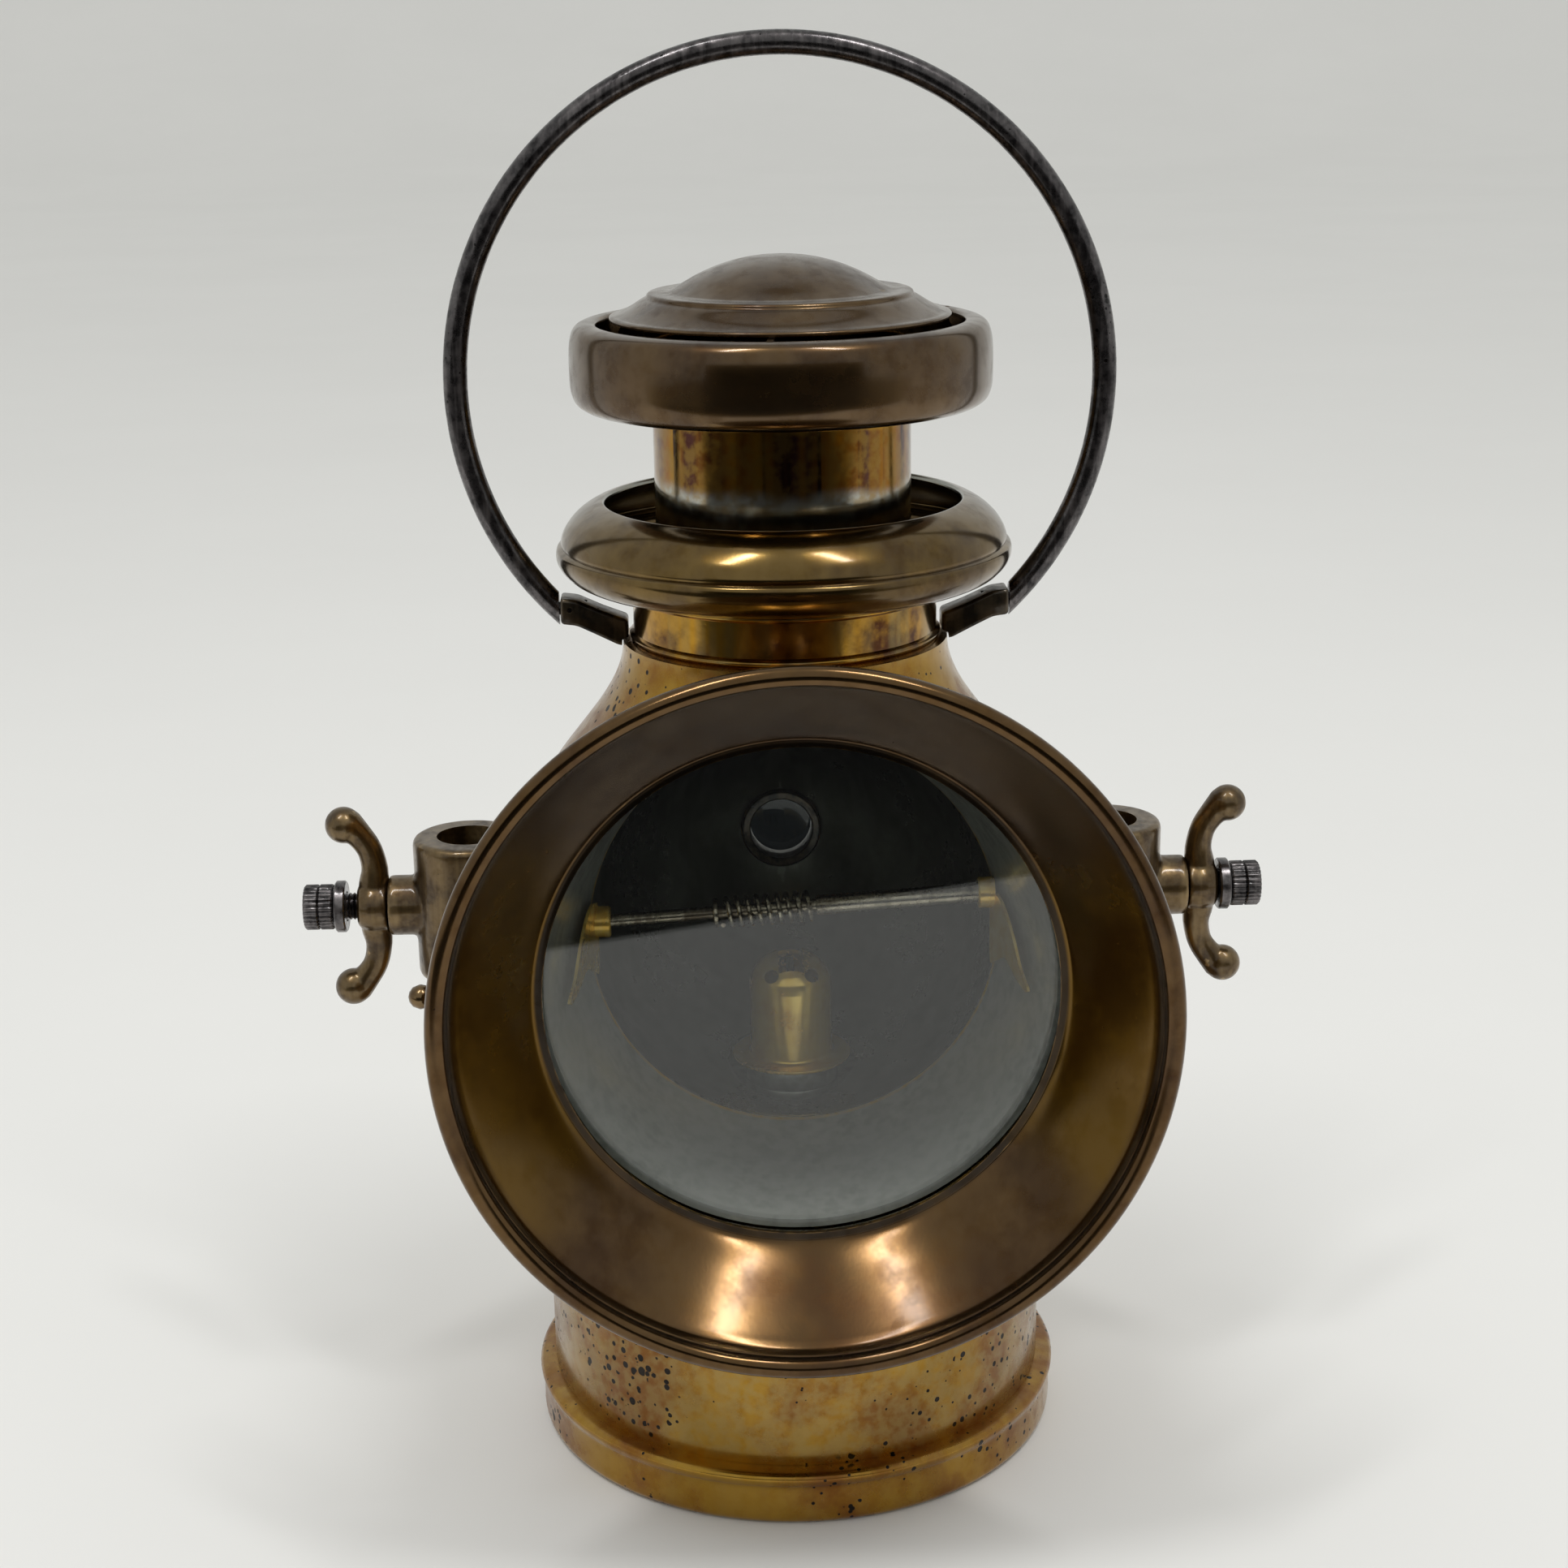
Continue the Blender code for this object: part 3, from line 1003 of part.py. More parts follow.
def make_burner():
    thread = TANK_MOUTH_RADIUS - TOUCH_GAP
    inside = thread - SHEET
    crown = COLLAR_TOP - COLLAR_CROWN
    flange_top = COLLAR_BASE + COLLAR_FLANGE_HEIGHT
    thread_end = COLLAR_BASE - COLLAR_THREAD_LENGTH
    collar = [(0, COLLAR_TOP), (COLLAR_RADIUS - COLLAR_CROWN, COLLAR_TOP), (COLLAR_RADIUS, crown),
              (COLLAR_RADIUS, flange_top), (COLLAR_FLANGE_RADIUS, flange_top),
              (COLLAR_FLANGE_RADIUS, COLLAR_BASE), (thread, COLLAR_BASE), (thread, thread_end),
              (inside, thread_end), (inside, crown - SHEET), (0, crown - SHEET)]
    item = solid_turned("burner_collar", collar, "tinned", facets=MEDIUM_FACETS)
    guide_gap = WICK_TUBE_WALL + 2 * TOUCH_GAP
    slot = wick_box("collar_slot_cut", guide_gap, crown - OVERRUN, COLLAR_TOP + OVERRUN, None)
    shaft_hole = hole("collar_shaft_cut", WINDER_SHAFT_RADIUS + TOUCH_GAP, (SHAFT_X, 0, WINDER_HEIGHT),
                      (SHAFT_X, COLLAR_RADIUS + OVERRUN, WINDER_HEIGHT))
    cut(item, slot, shaft_hole)

    round_radius = DOME_TOP - DOME_SHOULDER
    dome = [(0, DOME_TOP), (DOME_RADIUS - round_radius, DOME_TOP)]
    dome += arc((DOME_RADIUS - round_radius, DOME_SHOULDER), round_radius, 75, 0)
    flange_top = DOME_BASE + SHEET
    inner = DOME_RADIUS - THIN_SHEET
    dome += [(DOME_RADIUS, flange_top), (DOME_FLANGE_RADIUS, flange_top)]
    dome += [(DOME_FLANGE_RADIUS, DOME_BASE), (inner, DOME_BASE), (inner, DOME_SHOULDER)]
    dome += arc((DOME_RADIUS - round_radius, DOME_SHOULDER), round_radius - THIN_SHEET, 15, 75)
    dome += [(DOME_RADIUS - round_radius, DOME_TOP - THIN_SHEET), (0, DOME_TOP - THIN_SHEET)]
    cap = solid_turned("burner_dome", dome, "polished_brass", facets=MEDIUM_FACETS)
    top_slot = box("dome_slot_cut", (-DOME_SLOT_WIDTH / 2, -DOME_SLOT_LENGTH / 2, DOME_TOP - OVERRUN),
                   (DOME_SLOT_WIDTH / 2, DOME_SLOT_LENGTH / 2, DOME_TOP + OVERRUN), None)
    cut(cap, top_slot)
    tilt = math.radians(DOME_HOLE_TILT)
    for side in (-1, 1):
        start = (side * DOME_HOLE_X, -DOME_RADIUS / 2, DOME_HOLE_HEIGHT - DOME_RADIUS / 4)
        end = (side * DOME_HOLE_X, -DOME_RADIUS / 2 - DOME_RADIUS * math.cos(tilt),
               DOME_HOLE_HEIGHT - DOME_RADIUS / 4 + DOME_RADIUS * math.sin(tilt))
        cut(cap, hole(f"dome_hole_cut_{side}", DOME_HOLE_RADIUS, start, end))

    guide = wick_box("wick_tube", TOUCH_GAP + WICK_TUBE_WALL, WICK_TUBE_BOTTOM, WICK_TUBE_TOP,
                     "polished_brass")
    cut(guide, wick_box("wick_tube_cut", TOUCH_GAP, WICK_TUBE_BOTTOM - OVERRUN, WICK_TUBE_TOP + OVERRUN,
                        None))
    wick_box("wick", 0, WICK_BOTTOM, WICK_TOP, "cotton")


def make_winder():
    shaft_start = -WINDER_WHEEL_SPACING / 2 - WINDER_WHEEL_LENGTH
    knob_start = WINDER_KNOB_END - WINDER_KNOB_LENGTH
    shaft = rod_between("winder_spindle", WINDER_SHAFT_RADIUS, (SHAFT_X, shaft_start, WINDER_HEIGHT),
                        (SHAFT_X, knob_start - TOUCH_GAP, WINDER_HEIGHT), "spring_steel", twist=HOLE_TWIST)
    star = star_outline(WINDER_WHEEL_RADIUS, (WINDER_WHEEL_RADIUS + WINDER_SHAFT_RADIUS) / 2, WINDER_TEETH)
    for side in (-1, 1):
        middle = (SHAFT_X, side * WINDER_WHEEL_SPACING / 2, WINDER_HEIGHT)
        wheel = plate(f"star_wheel_{side}", star, WINDER_WHEEL_LENGTH, None, location=middle,
                      rotation=AXIS_FORWARD)
        join(shaft, wheel)
    rod_between("winder_knob", WINDER_KNOB_RADIUS, (SHAFT_X, knob_start, WINDER_HEIGHT),
                (SHAFT_X, WINDER_KNOB_END, WINDER_HEIGHT), "polished_brass")


def build_lamp():
    clear_scene()
    clearance = body_clearance()
    make_body()
    make_neck_and_cowl()
    make_chimney()
    make_cap()
    make_bail()
    make_bail_ears(clearance)
    for word, side in (("left", -1), ("right", 1)):
        make_fork_socket(word, side, clearance)
        make_clamp(word, side)
    make_drum_and_cone(clearance)
    make_reflector()
    make_rear_port()
    make_door()
    frame_room, drum_room = make_hinge()
    make_catch(frame_room, drum_room)
    make_cross_rod()
    make_rod_clips()
    make_base_cup()
    make_font()
    make_burner()
    make_winder()
    smooth_parts()


build_lamp()
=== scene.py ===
# Looks of the paraffin car lamp: smooth turned and cast brass, worn steel, tinned reflector,
# glass, and a plain pale studio. Metres, +Z up; the lamp looks along -Y. Outlines are in mm.

import math

import bmesh
import bpy
from mathutils import Matrix, Vector


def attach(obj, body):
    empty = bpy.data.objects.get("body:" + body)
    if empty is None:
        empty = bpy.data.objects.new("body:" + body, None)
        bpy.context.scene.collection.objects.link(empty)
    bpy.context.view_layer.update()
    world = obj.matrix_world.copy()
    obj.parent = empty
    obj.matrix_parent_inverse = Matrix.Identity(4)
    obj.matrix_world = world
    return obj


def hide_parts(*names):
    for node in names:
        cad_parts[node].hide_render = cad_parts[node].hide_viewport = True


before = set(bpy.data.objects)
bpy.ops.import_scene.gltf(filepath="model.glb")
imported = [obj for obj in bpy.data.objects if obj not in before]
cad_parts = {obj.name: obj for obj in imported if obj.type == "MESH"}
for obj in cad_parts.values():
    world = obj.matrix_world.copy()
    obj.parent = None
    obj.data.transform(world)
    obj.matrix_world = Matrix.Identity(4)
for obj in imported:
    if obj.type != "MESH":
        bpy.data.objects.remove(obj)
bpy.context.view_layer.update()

MM = 0.001
ROUND_STEPS = 128
SMALL_STEPS = 64
SHARP_ANGLE = math.radians(38)
CURVE_STEPS = 6
LENS_HEIGHT = 114.9

FORWARD = Matrix.Translation((0, 0, LENS_HEIGHT * MM)) @ Matrix.Rotation(math.radians(90), 4, "X")
UPRIGHT = Matrix.Identity(4)

# Turned outlines, (radius, height) in mm
BODY_COLLAR = ((29.0, 174.5), (29.0, 169.0))
BODY_FOOT = ((51.7, 12.6), (51.5, 11.8))
SHOULDER = (32.2, 168.2, 51.7, 130.0)
NECK_BAND = ((30.1, 178.6), (30.7, 178.3), (30.85, 177.8), (30.5, 177.3), (30.1, 177.1), (30.1, 170.3),
             (30.5, 170.0), (30.85, 169.5), (30.7, 168.9), (30.1, 168.5))
COWL_FLANK = ((34.9, 195.0), (35.1, 195.6), (35.7, 195.8), (37.7, 195.1), (40.0, 193.7), (41.9, 191.9),
              (43.2, 190.0), (43.8, 188.3), (43.7, 187.4))
COWL_BELLY = ((44.1, 187.2), (44.6, 186.8), (44.8, 186.0), (44.75, 184.9), (44.3, 183.7), (43.4, 182.5),
              (41.8, 181.2), (39.0, 180.1), (34.8, 179.4), (29.8, 179.1))
CHIMNEY = ((24.9, 226.5), (25.1, 226.3), (25.1, 166.0))
CAP_BAND = ((35.5, 229.6), (35.7, 230.1), (36.4, 230.4), (38.0, 230.35), (39.5, 229.7), (40.4, 228.2),
            (40.85, 225.4), (40.9, 220.4), (40.75, 217.7), (40.0, 215.6), (38.6, 214.5), (37.2, 214.2),
            (34.6, 214.2))
CAP_DOME = ((0.0, 242.6), (4.0, 242.4), (8.0, 241.75), (12.0, 240.6), (16.0, 238.9), (19.6, 236.9),
            (21.3, 236.05))
CAP_STEP = ((22.3, 235.9), (24.8, 235.85), (25.5, 235.55), (25.8, 234.95), (26.8, 234.4), (29.2, 232.9),
            (31.4, 231.85), (32.4, 231.65), (32.9, 231.35), (32.9, 230.8))
BASE_OUTLINE = ((50.6, 23.5), (50.6, 11.9), (52.4, 11.75), (54.2, 11.35), (54.9, 10.7), (55.0, 10.0),
                (54.75, 9.2), (54.4, 8.3), (54.35, 6.0), (54.4, 2.2), (54.1, 1.0), (53.4, 0.3), (52.4, 0.0),
                (0.0, 0.0))
DRUM = ((50.7, 55.1), (50.7, 0.0))
FRAME = ((52.3, 61.0), (52.3, 52.4), (51.1, 52.4), (51.1, 60.3), (48.2, 60.3), (48.2, 61.0))
BEZEL_FLARE = ((64.1, 79.35), (63.5, 78.0), (62.7, 76.9), (61.4, 75.4), (57.6, 71.0), (53.8, 66.6),
               (50.6, 62.8), (49.3, 61.6), (48.4, 61.4), (47.3, 61.4))
BEZEL_ROLL_CENTRE = (65.0, 81.0)
BEZEL_ROLL = 1.9
BEZEL_WALL = 0.8
GLASS = ((0.0, 60.0), (50.4, 60.0), (50.8, 59.6), (50.8, 57.8), (50.4, 57.4), (0.0, 57.4))
CONE = ((49.2, 54.9), (49.2, 54.1), (48.2, 54.1), (40.4, 25.0), (39.8, 25.0), (47.6, 54.9))
BOWL_AXES = (42.5, 72.0, 24.7)
TANK = ((9.0, 66.2), (42.0, 66.2), (45.2, 65.3), (46.7, 63.6), (47.0, 61.4), (47.0, 6.0), (46.6, 3.6),
        (45.0, 1.9), (42.6, 1.15), (0.0, 1.1))
COLLAR = ((0.0, 78.3), (7.6, 78.3), (8.9, 77.9), (9.5, 76.8), (9.5, 74.0), (9.3, 73.7), (9.5, 73.4),
          (9.5, 70.9), (9.3, 70.6), (9.5, 70.3), (9.5, 67.7), (11.0, 67.7), (11.2, 67.5), (11.2, 66.6),
          (8.7, 66.5), (8.7, 61.5), (7.9, 61.5), (7.9, 77.0), (0.0, 77.0))
DOME = ((0.0, 101.2), (2.0, 101.15), (4.6, 100.5), (6.8, 98.8), (8.1, 96.6), (8.5, 94.3), (8.5, 80.3),
        (8.7, 79.7), (9.4, 79.45), (11.9, 79.4), (12.3, 79.2), (12.3, 78.8), (11.9, 78.6))
PORT_RING = ((10.4, 53.2), (10.6, 52.9), (10.6, 52.0), (8.6, 52.0), (8.6, 44.3), (8.3, 44.0), (7.1, 44.0),
             (6.8, 44.3), (6.8, 52.8), (7.1, 53.2))
PORT_HEIGHT = 113.6
JEWEL = ((0.0, 53.1), (2.2, 52.95), (4.4, 52.45), (6.2, 51.75), (6.75, 51.5), (6.75, 49.9), (0.0, 49.9))


# Mesh helpers

def finish_piece(name, item, material, body, nodes):
    item.name = name
    item.data.materials.clear()
    item.data.materials.append(material)
    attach(item, body)
    if nodes:
        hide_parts(*nodes)
    return item


def mesh_item(name, mesh):
    """An object from a bmesh, smooth where its faces meet softly."""
    bmesh.ops.recalc_face_normals(mesh, faces=mesh.faces)
    for face in mesh.faces:
        face.smooth = True
    for edge in mesh.edges:
        if len(edge.link_faces) == 2:
            edge.smooth = edge.calc_face_angle(0) < SHARP_ANGLE
    data = bpy.data.meshes.new(name)
    mesh.to_mesh(data)
    mesh.free()
    item = bpy.data.objects.new(name, data)
    bpy.context.scene.collection.objects.link(item)
    return item


def spline(points, steps=CURVE_STEPS):
    """A smooth line through the given points."""
    ends = [points[0]] + list(points) + [points[-1]]
    line = []
    for index in range(len(points) - 1):
        before, start, end, after = (Vector(ends[index + k]) for k in range(4))
        for step in range(steps):
            t = step / steps
            line.append(0.5 * (2 * start + (end - before) * t
                               + (2 * before - 5 * start + 4 * end - after) * t * t
                               + (3 * start - before - 3 * end + after) * t ** 3))
    line.append(Vector(points[-1]))
    return [tuple(point) for point in line]


def walled(points, wall):
    """The closed outline of a sheet whose outer side runs down through the points."""
    inner = []
    last = len(points) - 1
    for index, (radius, height) in enumerate(points):
        before, after = Vector(points[max(index - 1, 0)]), Vector(points[min(index + 1, last)])
        along = (after - before).normalized()
        inner.append((max(radius + along.y * wall, 0), height - along.x * wall))
    if points[-1][0] == 0:
        inner[-1] = (0, inner[-1][1])
    if points[0][0] == 0:
        inner[0] = (0, inner[0][1])
    return list(points) + inner[::-1]


def turned(name, outline, place=UPRIGHT, steps=ROUND_STEPS):
    """An outline of (radius, height) points in mm, turned once round the axis of its place."""
    mesh = bmesh.new()
    rings = []
    for radius, height in outline:
        count = steps if radius > 0 else 1
        rings.append([mesh.verts.new((radius * MM * math.cos(2 * math.pi * turn / steps),
                                      radius * MM * math.sin(2 * math.pi * turn / steps), height * MM))
                      for turn in range(count)])
    for first, second in zip(rings, rings[1:] + rings[:1]):
        for turn in range(steps):
            here, there = turn, (turn + 1) % steps
            corners = [first[here % len(first)], second[here % len(second)],
                       second[there % len(second)], first[there % len(first)]]
            corners = [v for k, v in enumerate(corners) if v not in corners[:k]]
            if len(corners) > 2:
                mesh.faces.new(corners)
    mesh.transform(place)
    return mesh_item(name, mesh)


def merge(item, other, operation):
    """Apply a Boolean of two closed meshes and drop the second."""
    step = item.modifiers.new("merge", "BOOLEAN")
    step.operation, step.solver, step.object = operation, "EXACT", other
    apply_steps(item)
    bpy.data.objects.remove(other, do_unlink=True)
    return item


def apply_steps(item):
    """Bake the modifiers into the mesh and mark its sharp edges again."""
    graph = bpy.context.evaluated_depsgraph_get()
    graph.update()
    made = bpy.data.meshes.new_from_object(item.evaluated_get(graph))
    item.modifiers.clear()
    mesh = bmesh.new()
    mesh.from_mesh(made)
    for face in mesh.faces:
        face.smooth = True
    for edge in mesh.edges:
        if len(edge.link_faces) == 2:
            edge.smooth = edge.calc_face_angle(0) < SHARP_ANGLE
    mesh.to_mesh(made)
    mesh.free()
    item.data = made


def across(axis, x, y, z):
    """Place whose own +Z points along X, Y or -Y, at a point in mm."""
    turns = {"+X": (90, "Y"), "-X": (-90, "Y"), "+Y": (-90, "X"), "-Y": (90, "X"), "+Z": (0, "X")}
    angle, about = turns[axis]
    return Matrix.Translation(Vector((x, y, z)) * MM) @ Matrix.Rotation(math.radians(angle), 4, about)


def drill(name, radius, low, high, place, steps=SMALL_STEPS):
    return turned(name, ((0, high), (radius, high), (radius, low), (0, low)), place, steps)


def block(name, low, high, place=UPRIGHT):
    """A box between two corners in mm, used to cut or to fuse."""
    mesh = bmesh.new()
    bmesh.ops.create_cube(mesh, size=1)
    size = (Vector(high) - Vector(low)) * MM
    centre = (Vector(high) + Vector(low)) / 2 * MM
    for vertex in mesh.verts:
        vertex.co = Vector(vertex.co[k] * size[k] for k in range(3)) + centre
    mesh.transform(place)
    return mesh_item(name, mesh)


def sphere(name, radius, centre):
    mesh = bmesh.new()
    bmesh.ops.create_uvsphere(mesh, u_segments=32, v_segments=20, radius=radius * MM)
    mesh.transform(Matrix.Translation(Vector(centre) * MM))
    return mesh_item(name, mesh)


def swept(name, points, radii, steps=24, place=UPRIGHT):
    """A round rod through points in mm, with its own radius at each, closed at both ends."""
    curve = bpy.data.curves.new(name, "CURVE")
    curve.dimensions, curve.fill_mode = "3D", "FULL"
    curve.bevel_depth, curve.bevel_resolution = MM, steps // 4 - 1
    curve.use_fill_caps = True
    line = curve.splines.new("POLY")
    line.points.add(len(points) - 1)
    for knot, point, radius in zip(line.points, points, radii):
        knot.co = (*(Vector(point) * MM), 1)
        knot.radius = radius
    rod = bpy.data.objects.new(name, curve)
    bpy.context.scene.collection.objects.link(rod)
    graph = bpy.context.evaluated_depsgraph_get()
    graph.update()
    data = bpy.data.meshes.new_from_object(rod.evaluated_get(graph))
    bpy.data.objects.remove(rod, do_unlink=True)
    mesh = bmesh.new()
    mesh.from_mesh(data)
    bmesh.ops.remove_doubles(mesh, verts=mesh.verts, dist=0.01 * MM)
    mesh.transform(place)
    return mesh_item(name, mesh)


def cast(item, voxel, passes):
    """Fuse and soften a piece as a casting: fine remesh, then smoothing."""
    remesh = item.modifiers.new("fuse", "REMESH")
    remesh.mode, remesh.voxel_size = "VOXEL", voxel * MM
    soften = item.modifiers.new("soften", "SMOOTH")
    soften.factor, soften.iterations = 0.5, passes
    apply_steps(item)
    return item


# Materials

class Wiring:
    """Adds nodes to a tree and joins them by input name."""

    def __init__(self, tree):
        self.tree = tree

    def add(self, kind, inputs=(), **settings):
        node = self.tree.nodes.new(kind)
        for key, value in settings.items():
            setattr(node, key, value)
        for key, value in dict(inputs).items():
            if isinstance(value, bpy.types.NodeSocket):
                self.tree.links.new(value, node.inputs[key])
            else:
                node.inputs[key].default_value = value
        return node

    def math(self, operation, first, second=0.0, clamp=False):
        return self.add("ShaderNodeMath", {0: first, 1: second}, operation=operation,
                        use_clamp=clamp).outputs[0]

    def mix(self, share, first, second):
        node = self.add("ShaderNodeMix", {0: share, 6: first, 7: second}, data_type="RGBA")
        return node.outputs[2]

    def range(self, value, low, high, start=0.0, end=1.0):
        node = self.add("ShaderNodeMapRange", {"Value": value, "From Min": low, "From Max": high,
                                               "To Min": start, "To Max": end},
                        interpolation_type="SMOOTHSTEP")
        return node.outputs[0]

    def group(self, tree, inputs):
        node = self.add("ShaderNodeGroup", (), node_tree=tree)
        for key, value in inputs.items():
            if isinstance(value, bpy.types.NodeSocket):
                self.tree.links.new(value, node.inputs[key])
            else:
                node.inputs[key].default_value = value
        return node.outputs[0]


def effect(name, inputs, output, build):
    """A shared shader effect with named sockets, built once."""
    tree = bpy.data.node_groups.new(name, "ShaderNodeTree")
    for key, kind in inputs.items():
        tree.interface.new_socket(name=key, in_out="INPUT", socket_type=kind)
    tree.interface.new_socket(name=output, in_out="OUTPUT", socket_type="NodeSocketFloat")
    wiring = Wiring(tree)
    source = tree.nodes.new("NodeGroupInput")
    sink = tree.nodes.new("NodeGroupOutput")
    tree.links.new(build(wiring, source.outputs), sink.inputs[output])
    return tree


def noise_mask(wiring, sockets, stretch=(1, 1, 1), detail=6.0):
    stretched = wiring.add("ShaderNodeVectorMath", {0: sockets["Place"], 1: stretch},
                           operation="MULTIPLY")
    noise = wiring.add("ShaderNodeTexNoise", {"Vector": stretched.outputs[0], "Scale": sockets["Scale"],
                                              "Detail": detail, "Roughness": 0.6})
    return wiring.range(noise.outputs[0], sockets["Low"], sockets["High"])


def speck_mask(wiring, sockets):
    cells = wiring.add("ShaderNodeTexVoronoi", {"Vector": sockets["Place"], "Scale": sockets["Scale"]})
    ragged = wiring.add("ShaderNodeTexNoise", {"Vector": sockets["Place"], "Scale": sockets["Scale"],
                                               "Detail": 4.0})
    patches = wiring.add("ShaderNodeTexNoise", {"Vector": sockets["Place"], "Scale": 38.0, "Detail": 3.0})
    size = wiring.math("MULTIPLY", wiring.range(patches.outputs[0], 0.38, 0.72), sockets["Amount"])
    random_size = wiring.add("ShaderNodeSeparateColor", {"Color": cells.outputs["Color"]}).outputs[0]
    size = wiring.math("MULTIPLY", size, random_size)
    distance = wiring.math("ADD", cells.outputs["Distance"],
                           wiring.math("MULTIPLY", ragged.outputs[0], 0.22))
    edge = wiring.math("SUBTRACT", wiring.math("ADD", size, 0.11), distance)
    return wiring.range(edge, 0.0, 0.07)


def edge_mask(wiring, sockets):
    shape = wiring.add("ShaderNodeNewGeometry")
    chips = wiring.add("ShaderNodeTexNoise", {"Vector": sockets["Place"], "Scale": 420.0, "Detail": 4.0})
    raised = wiring.range(shape.outputs["Pointiness"], 0.505, 0.56)
    broken = wiring.range(chips.outputs[0], 0.35, 0.62)
    return wiring.math("MULTIPLY", wiring.math("MULTIPLY", raised, broken), sockets["Amount"], clamp=True)


def hammer_height(wiring, sockets):
    waves = wiring.add("ShaderNodeTexNoise", {"Vector": sockets["Place"], "Scale": 60.0, "Detail": 2.0})
    grain = wiring.add("ShaderNodeTexNoise", {"Vector": sockets["Place"], "Scale": 1400.0, "Detail": 3.0})
    fine = wiring.math("MULTIPLY", grain.outputs[0], 0.16)
    return wiring.math("ADD", waves.outputs[0], fine)


SPOT_INPUTS = {"Place": "NodeSocketVector", "Scale": "NodeSocketFloat", "Low": "NodeSocketFloat",
               "High": "NodeSocketFloat"}
AMOUNT_INPUTS = {"Place": "NodeSocketVector", "Scale": "NodeSocketFloat", "Amount": "NodeSocketFloat"}
blotches = effect("blotches", SPOT_INPUTS, "Mask", noise_mask)
runs = effect("vertical_runs", SPOT_INPUTS, "Mask",
              lambda wiring, sockets: noise_mask(wiring, sockets, (1, 1, 0.02), 2.0))
specks = effect("specks", AMOUNT_INPUTS, "Mask", speck_mask)
worn_edges = effect("worn_edges", {"Place": "NodeSocketVector", "Amount": "NodeSocketFloat"}, "Mask",
                    edge_mask)
hammering = effect("hammering", {"Place": "NodeSocketVector"}, "Height", hammer_height)


def colour(red, green, blue):
    """A colour given as a display value from 0 to 255."""
    def linear(value):
        share = value / 255
        return share / 12.92 if share <= 0.04045 else ((share + 0.055) / 1.055) ** 2.4
    return (linear(red), linear(green), linear(blue), 1)


def begin(name):
    material = bpy.data.materials.new(name)
    material.use_nodes = True
    wiring = Wiring(material.node_tree)
    place = wiring.add("ShaderNodeTexCoord").outputs["Object"]
    return material, wiring, place, material.node_tree.nodes["Principled BSDF"]


def axes(wiring, place):
    return wiring.add("ShaderNodeSeparateXYZ", {0: place}).outputs


def metal(name, plain, stained, pale, pit, metallic=1.0, rough=(0.22, 0.42), blotch_scale=55.0,
          pits=0.10, pit_scale=330.0, edge=0.6, bump=0.03, streak=0.3, zones=None,
          coat=0.6, coat_roughness=0.12):
    """An aged metal: two tones in blotches and runs, pits, rubbed edges, uneven gloss and fine bumps."""
    material, wiring, place, shader = begin(name)
    tone = wiring.group(blotches, {"Place": place, "Scale": blotch_scale, "Low": 0.40, "High": 0.66})
    fine = wiring.group(blotches, {"Place": place, "Scale": blotch_scale * 6, "Low": 0.35, "High": 0.75})
    run = wiring.group(runs, {"Place": place, "Scale": blotch_scale * 3, "Low": 0.45, "High": 0.70})
    pitting = wiring.group(specks, {"Place": place, "Scale": pit_scale, "Amount": pits})
    rubbed = wiring.group(worn_edges, {"Place": place, "Amount": edge})
    share = wiring.math("ADD", tone, wiring.math("MULTIPLY", fine, 0.25), clamp=True)
    paint = wiring.mix(share, plain, stained)
    if zones:
        paint = zones(wiring, place, paint)
    paint = wiring.mix(wiring.math("MULTIPLY", run, streak), paint, pale)
    paint = wiring.mix(rubbed, paint, pale)
    paint = wiring.mix(pitting, paint, pit)
    wiring.tree.links.new(paint, shader.inputs["Base Color"])
    gloss = wiring.range(wiring.math("ADD", wiring.math("MULTIPLY", tone, 0.6),
                                     wiring.math("MULTIPLY", fine, 0.4)), 0.0, 1.0, *rough)
    gloss = wiring.math("ADD", gloss, wiring.math("MULTIPLY", pitting, 0.35), clamp=True)
    wiring.tree.links.new(gloss, shader.inputs["Roughness"])
    height = wiring.group(hammering, {"Place": place})
    height = wiring.math("SUBTRACT", height, wiring.math("MULTIPLY", pitting, 0.8))
    relief = wiring.add("ShaderNodeBump", {"Height": height, "Strength": 1.0, "Distance": bump * MM})
    wiring.tree.links.new(relief.outputs[0], shader.inputs["Normal"])
    shader.inputs["Metallic"].default_value = metallic
    shader.inputs["Coat Roughness"].default_value = coat_roughness
    film = wiring.range(fine, 0.0, 1.0, coat, coat * 0.5)
    wiring.tree.links.new(film, shader.inputs["Coat Weight"])
    return material


